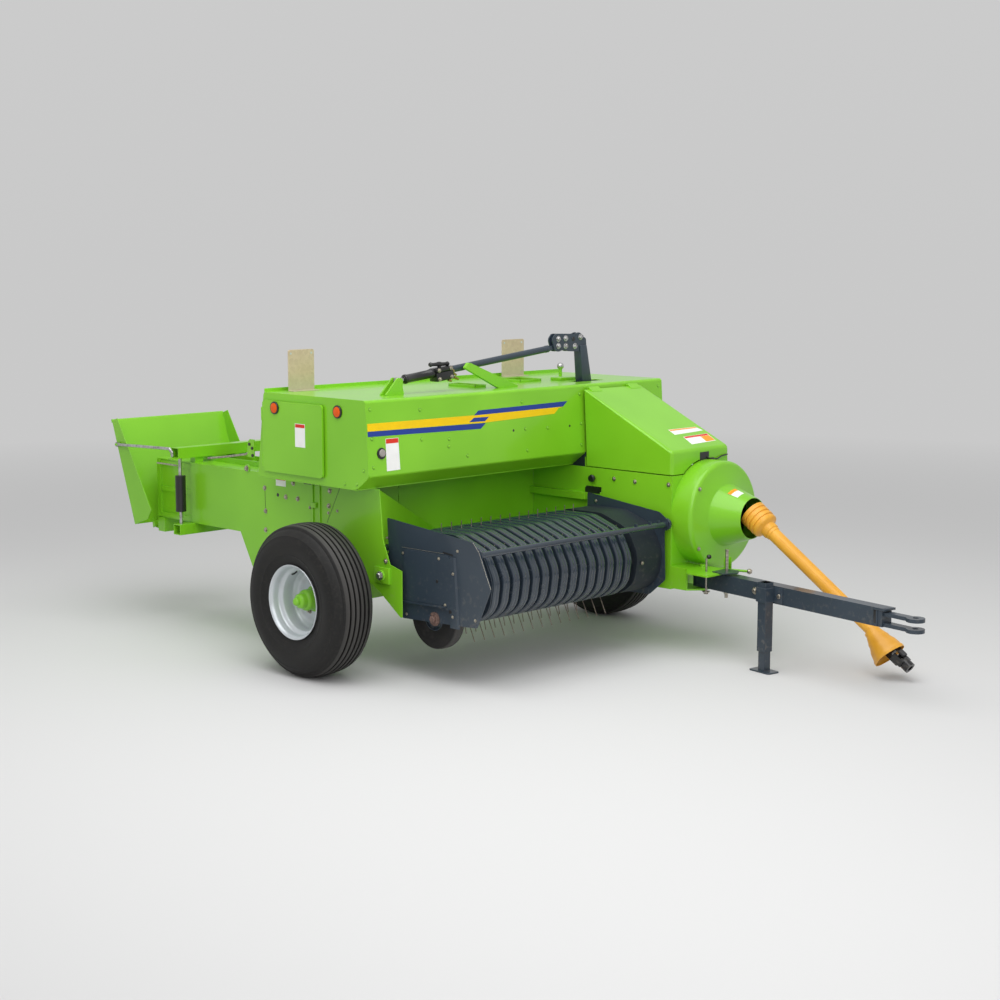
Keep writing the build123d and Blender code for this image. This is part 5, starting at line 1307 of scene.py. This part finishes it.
latchLook = {
    "hole": [(0.916, 1.095), (1.001, 1.095), (1.001, 1.146), (0.916, 1.146)], "holeAt": 1.01,
    "wire": [(1.013, 0.98, 1.112), (1.021, 1.02, 1.098), (1.022, 1.07, 1.098), (1.018, 1.11, 1.11),
        (1.018, 1.168, 1.116)],
    "wireThick": 0.0042, "catch": (1.016, 1.02, 1.1), "catchSize": (0.012, 0.034, 0.016),
}
housingLook = {
    "side": 0.66, "sideBolts": [(0.566, 0.972), (0.73, 0.969), (0.985, 0.975)],
    "frontBolts": [(1.156, 0.736, 0.61), (1.156, 0.736, 0.958)],
    "sideBolt": 0.0095, "frontBolt": 0.0085, "knobAt": (0.406, 0.66, 0.963),
    "knob": [(0.0, 0.0), (0.012, 0.0), (0.012, 0.01), (0.021, 0.014), (0.023, 0.024), (0.019, 0.032),
        (0.0, 0.034)],
    "arch": [(0.335, 0.87), (0.455, 0.87), (0.455, 0.9), (0.44, 0.91), (0.35, 0.91), (0.335, 0.9)],
}
hole = [at(latchLook["holeAt"], y, z) for y, z in latchLook["hole"]]
single("coverLatchHole", "gear_cover", "black", addFilm, hole, forwards)
bm = bmesh.new()
addRod(bm, [at(*place) for place in latchLook["wire"]], latchLook["wireThick"], 12)
addBlock(bm, at(*latchLook["catch"]), latchLook["catchSize"])
register("coverLatch", bm, "gear_cover", "black")
bm = bmesh.new()
addBolts(bm, upright(housingLook["side"], housingLook["sideBolts"]), rightward, housingLook["sideBolt"])
addBolts(bm, [at(*place) for place in housingLook["frontBolts"]], forwards, housingLook["frontBolt"])
register("housingBolts", bm, "root", "bolt")
bm = bmesh.new()
addTurned(bm, housingLook["knob"], at(*housingLook["knobAt"]), rightward, 24)
addFilm(bm, upright(housingLook["side"], housingLook["arch"]), rightward, 2)
register("housingKnob", bm, "root", "black")

pinLook = {
    "first": (1.268, 0.666, 0.47), "second": (1.347, 0.752, 0.497), "nutsAt": 0.384, "nut": 0.015,
    # each rod's points from its pin's place, and its radius
    "firstRod": ([(0, 0, -0.085), (0, 0, 0.105), (0.01, 0.006, 0.112)], 0.0055, 12),
    "secondRods": [([(0, 0, -0.15), (0, 0, 0.13)], 0.0095, 16),
        ([(-0.012, 0, 0.126), (0.012, 0, 0.126)], 0.004, 8)],
    "knob": [(0.0, -0.014), (0.009, -0.011), (0.014, -0.003), (0.014, 0.004), (0.009, 0.011), (0.0, 0.014)],
    "knobAt": (0.012, 0.008, 0.116),
}
handleLook = {
    "ends": [(1.29, 0.842, 0.491), (1.413, 0.881, 0.491)], "thick": 0.0075,
    "knob": [(0.0, -0.016), (0.01, -0.013), (0.016, -0.004)],
    "ears": [(1.29, 0.822, 0.53), (1.29, 0.852, 0.53)], "ear": (0.03, 0.006, 0.068),
    "keeper": [(1.305, 0.672), (1.395, 0.655), (1.442, 0.735), (1.4, 0.802), (1.3, 0.802)],
    "keeperAt": 0.4985, "keeperThick": 0.006,
}
pins = {key: at(*pinLook[key]) for key in ("first", "second")}
bm = bmesh.new()
for key, rods in (("first", [pinLook["firstRod"]]), ("second", pinLook["secondRods"])):
    for points, radius, sides in rods:
        addRod(bm, [pins[key] + Vector(point) for point in points], radius, sides)
addBolts(bm, [at(*pinLook[key][:2], pinLook["nutsAt"]) for key in pins], -upwards, pinLook["nut"])
handle = [at(*place) for place in handleLook["ends"]]
addTurned(bm, mirrored(handleLook["knob"]), handle[1], handle[1] - handle[0], 20)
register("mountPins", bm, "root", "bolt")
knobAt = pins["first"] + Vector(pinLook["knobAt"])
single("pinKnob", "root", "black", addTurned, pinLook["knob"], knobAt, upwards, 20)
bm = bmesh.new()
addRod(bm, handle, handleLook["thick"], 14)
for place in handleLook["ears"]:
    addBlock(bm, at(*place), handleLook["ear"])
register("mountHandle", bm, "root", "green")
keeper = [at(x, y, handleLook["keeperAt"]) for x, y in handleLook["keeper"]]
single("mountKeeper", "root", "slate", addPlate, keeper, handleLook["keeperThick"])

beamLook = {
    "foot": (1.15, 0.786), "turn": -9.1,      # the beam's rear end and how it points to the right, degrees
    "bolts": [(0.47, 0.04, 0.434), (0.664, 0.04, 0.432)], "bolt": 0.014,
    "plates": [((0.59, 0.042, 0.435), (0.2, 0.006, 0.088)), ((1.385, 0.0, 0.4785), (0.07, 0.086, 0.012))],
    "gap": ((1.352, 0.0395, 0.436), (0.016, 0.003, 0.07)),
}


def onBeam(distance, right, z):
    turn = math.radians(beamLook["turn"])
    x, y = beamLook["foot"]
    return at(x + distance * math.cos(turn) + right * math.sin(turn),
              y + distance * math.sin(turn) - right * math.cos(turn), z)


beamRight = onBeam(0, 1, 0) - onBeam(0, 0, 0)
beamTurn = Matrix.Rotation(math.radians(beamLook["turn"]), 4, "Z")
places = [onBeam(*place) for place in beamLook["bolts"]]
single("jackBolts", "drawbar", "bolt", addBolts, places, beamRight, beamLook["bolt"])
bm = bmesh.new()
for place, size in beamLook["plates"]:
    addBlock(bm, onBeam(*place), size, beamTurn)
register("beamPlates", bm, "drawbar", "slate")
place, size = beamLook["gap"]
single("beamGap", "drawbar", "black", addBlock, onBeam(*place), size, beamTurn, 0.0005)
print("housing and drawbar fittings made")


chamberLook = {
    "side": -0.93,
    "bolts": [(-0.754, 0.943), (-0.749, 0.808), (-0.752, 0.695), (-0.557, 0.909), (-0.447, 0.909),
        (-0.486, 0.996), (-0.158, 0.982), (-0.169, 0.896), (0.311, 0.64)],
    "smallBolts": [(-0.339, 0.869), (-0.174, 0.856), (-0.095, 0.875)],
    "bolt": 0.0105, "smallBolt": 0.0065, "armAt": (-0.918, 1.045), "armBolt": 0.012, "armBoss": 0.024,
    "bossOut": 0.006, "bossIn": -0.004,
    "link": [(-1.289, 1.076), (-1.113, 1.099), (-0.91, 1.131), (-0.87, 1.152), (-0.84, 1.167)],
    "linkAt": -0.945, "linkThick": 0.0065, "tie": [(-1.677, 1.025), (-1.465, 1.025)], "tieAt": -1.05,
    "tieThick": 0.005, "tabThick": 0.006,
    "seams": [[(-0.756, 0.94), (-0.753, 0.94), (-0.749, 0.812), (-0.752, 0.812)],
        [(-0.39, 1.001), (-0.246, 1.003), (-0.246, 1.011), (-0.39, 1.009)],
        [(-0.072, 1.008), (-0.069, 1.008), (-0.187, 0.797), (-0.19, 0.797)]],
    "tabHoles": [(-0.851, 1.196), (-0.825, 1.174), (-0.821, 1.132)], "tabHolesAt": -0.962,
    "tabHole": (0.009, 0.006),
    # place, radius and height of the dark discs
    "discs": [((-0.632, 0.914), 0.011, 0.0012), ((0.32, 0.575), 0.016, 0.001)],
    "tab": [(-0.873, 1.12), (-0.809, 1.12), (-0.809, 1.226), (-0.85, 1.226), (-0.873, 1.205)],
    "tabAt": -0.956,
    # centre and size of the two rails and of the block between them
    "rails": [((-0.308, -0.934, 0.89), (0.012, 0.008, 0.26)),
        ((-0.246, -0.934, 0.89), (0.012, 0.008, 0.26)), ((-0.293, -0.937, 0.889), (0.04, 0.014, 0.03))],
    # finish, level, inset and heights of the blank plate and of its band
    "plate": (-0.648, -0.556),
    "films": [("whiteFilm", 1, 0.0, 0.968, 1.012), ("redFilm", 2, 0.003, 1.003, 1.01)],
}
side = chamberLook["side"]
x, z = chamberLook["armAt"]
bm = bmesh.new()
addBolts(bm, upright(side, chamberLook["bolts"]), rightward, chamberLook["bolt"])
addBolts(bm, upright(side, chamberLook["smallBolts"]), rightward, chamberLook["smallBolt"])
addBolt(bm, at(x, side - chamberLook["bossOut"], z), rightward, chamberLook["armBolt"])
addRod(bm, upright(chamberLook["linkAt"], chamberLook["link"]), chamberLook["linkThick"], 12)
addRod(bm, upright(chamberLook["tieAt"], chamberLook["tie"]), chamberLook["tieThick"], 12)
register("chamberBolts", bm, "root", "bolt")
bm = bmesh.new()
for (x, z), radius, high in chamberLook["discs"]:
    addDisc(bm, at(x, side, z), rightward, radius, high)
for seam in chamberLook["seams"]:
    addFilm(bm, upright(side, seam), rightward)
for x, z in chamberLook["tabHoles"]:
    addDisc(bm, at(x, chamberLook["tabHolesAt"], z), rightward, *chamberLook["tabHole"])
register("chamberHoles", bm, "root", "black")
bm = bmesh.new()
for place, size in chamberLook["rails"]:
    addBlock(bm, at(*place), size)
x, z = chamberLook["armAt"]
addDisc(bm, at(x, side, z), rightward, chamberLook["armBoss"], chamberLook["bossOut"], chamberLook["bossIn"])
addPlate(bm, upright(chamberLook["tabAt"], chamberLook["tab"]), chamberLook["tabThick"])
register("chamberRails", bm, "root", "green")
rear, front = chamberLook["plate"]
for finish, level, inset, low, high in chamberLook["films"]:
    a, b = rear + inset, front - inset
    corners = upright(side, [(a, low), (b, low), (b, high), (a, high)])
    single("chamber." + finish, "root", finish, addFilm, corners, rightward, level)

panelTable = [      # plain panels that close the view between sheets; the dark slate one under the hood is painted shade
    ("feederSidePanels", "green",
        [((-0.106, 0.64, 0.86), (0.004, 0.11, 0.33)), ((0.33, 0.925, 1.03), (0.004, 0.52, 0.11))]),
    # a dark sheet under the hood, put where there is only shade: painted shade
    ("underHoodPanel", "dullSlate", [((0.165, 0.67, 1.05), (0.33, 0.004, 0.13))]),
]
for name, finish, blocks in panelTable:
    bm = bmesh.new()
    for place, size in blocks:
        addBlock(bm, at(*place), size, bevel=0.0)
    register(name, bm, "root", finish)
print("chamber fittings made")


studio = {
    "floor": (0.66, 0.66, 0.66), "horizon": (0.585, 0.585, 0.585), "zenith": (0.62, 0.62, 0.62),
    "zenithAt": 0.35, "fadeFrom": 5.0, "fadeTo": 13.0,
    "rings": (2.0, 5.0, 8.0, 13.0, 30.0, 60.0), "steps": 64,
    # name, place, aim, size and power of each soft light
    "lamps": [("topBox", (1.0, -1.5, 5.5), (0.0, 0.0, 0.8), (6.0, 6.0), 245),
        ("sideBox", (5.5, -3.5, 3.6), (0.0, 0.0, 0.9), (4.0, 3.0), 90)],
}


def studioWorld():
    world = bpy.data.worlds.new("studio")
    bpy.context.scene.world = world
    world.use_nodes = True
    tree = world.node_tree
    background = tree.nodes["Background"]
    where = tree.nodes.new("ShaderNodeTexCoord")
    split = tree.nodes.new("ShaderNodeSeparateXYZ")
    ramp = tree.nodes.new("ShaderNodeValToRGB")
    fillRamp(ramp.color_ramp, [(0.0, studio["horizon"]), (studio["zenithAt"], studio["zenith"])])
    tree.links.new(where.outputs["Generated"], split.inputs[0])
    tree.links.new(split.outputs[2], ramp.inputs[0])
    tree.links.new(ramp.outputs[0], background.inputs[0])
    background.inputs[1].default_value = 1.0


def studioFloor():
    # a round floor that fades into the horizon's colour
    bm = bmesh.new()
    ground = cadBox[0].z
    count = studio["steps"]
    centre = bm.verts.new((0, 0, ground))
    made = [[bm.verts.new((r * math.cos(a), r * math.sin(a), ground)) for a in turns(count)]
            for r in studio["rings"]]
    for k in range(count):
        after = (k + 1) % count
        bm.faces.new((centre, made[0][k], made[0][after]))
        for inner, outer in zip(made, made[1:]):
            bm.faces.new((inner[k], outer[k], outer[after], inner[after]))
    floor = fromMesh("floor", bm)
    finish = Finish("floorPaper", Base_Color=studio["floor"], Roughness=0.9, Specular_IOR_Level=0.2)
    glow = finish.node("Emission", None, {0: studio["horizon"], 1: 1.0})
    where = finish.node("VectorMath", {"operation": "LENGTH"}, {0: finish.place()}, out=1)
    fade = finish.between(where, studio["fadeFrom"], studio["fadeTo"])
    plain = Wire(finish, finish.shader.outputs[0])
    mix = finish.node("MixShader", None, {0: fade, 1: plain, 2: glow})
    finish.feed(finish.tree.nodes["Material Output"].inputs[0], mix)
    floor.data.materials.append(finish.material)


def softLight(name, place, aim, size, power):
    light = bpy.data.lights.new(name, "AREA")
    light.shape = "RECTANGLE"
    light.size, light.size_y = size
    light.energy = power
    obj = bpy.data.objects.new(name, light)
    obj.location = place
    obj.rotation_euler = (Vector(aim) - Vector(place)).to_track_quat("-Z", "Y").to_euler()
    bpy.context.scene.collection.objects.link(obj)
    obj.visible_camera = False


cameraLook = {"aim": (-0.05, -0.011, 0.877), "azimuth": 44.9, "pitch": 7.96, "distance": 10.2, "lens": 62.84}


def studioCamera():
    camera = bpy.data.cameras.new("camera")
    camera.lens = cameraLook["lens"]
    camera.sensor_width = 36.0
    obj = bpy.data.objects.new("camera", camera)
    turn, pitch = (math.radians(cameraLook[key]) for key in ("azimuth", "pitch"))
    level = math.cos(pitch)
    view = Vector((-math.sin(turn) * level, math.cos(turn) * level, -math.sin(pitch)))
    obj.location = Vector(cameraLook["aim"]) - view * cameraLook["distance"]
    obj.rotation_euler = view.to_track_quat("-Z", "Y").to_euler()
    bpy.context.scene.collection.objects.link(obj)
    bpy.context.scene.camera = obj


studioWorld()
studioFloor()
for lamp in studio["lamps"]:
    softLight(*lamp)
studioCamera()
bpy.context.scene.view_settings.view_transform = "Standard"
print("studio set")
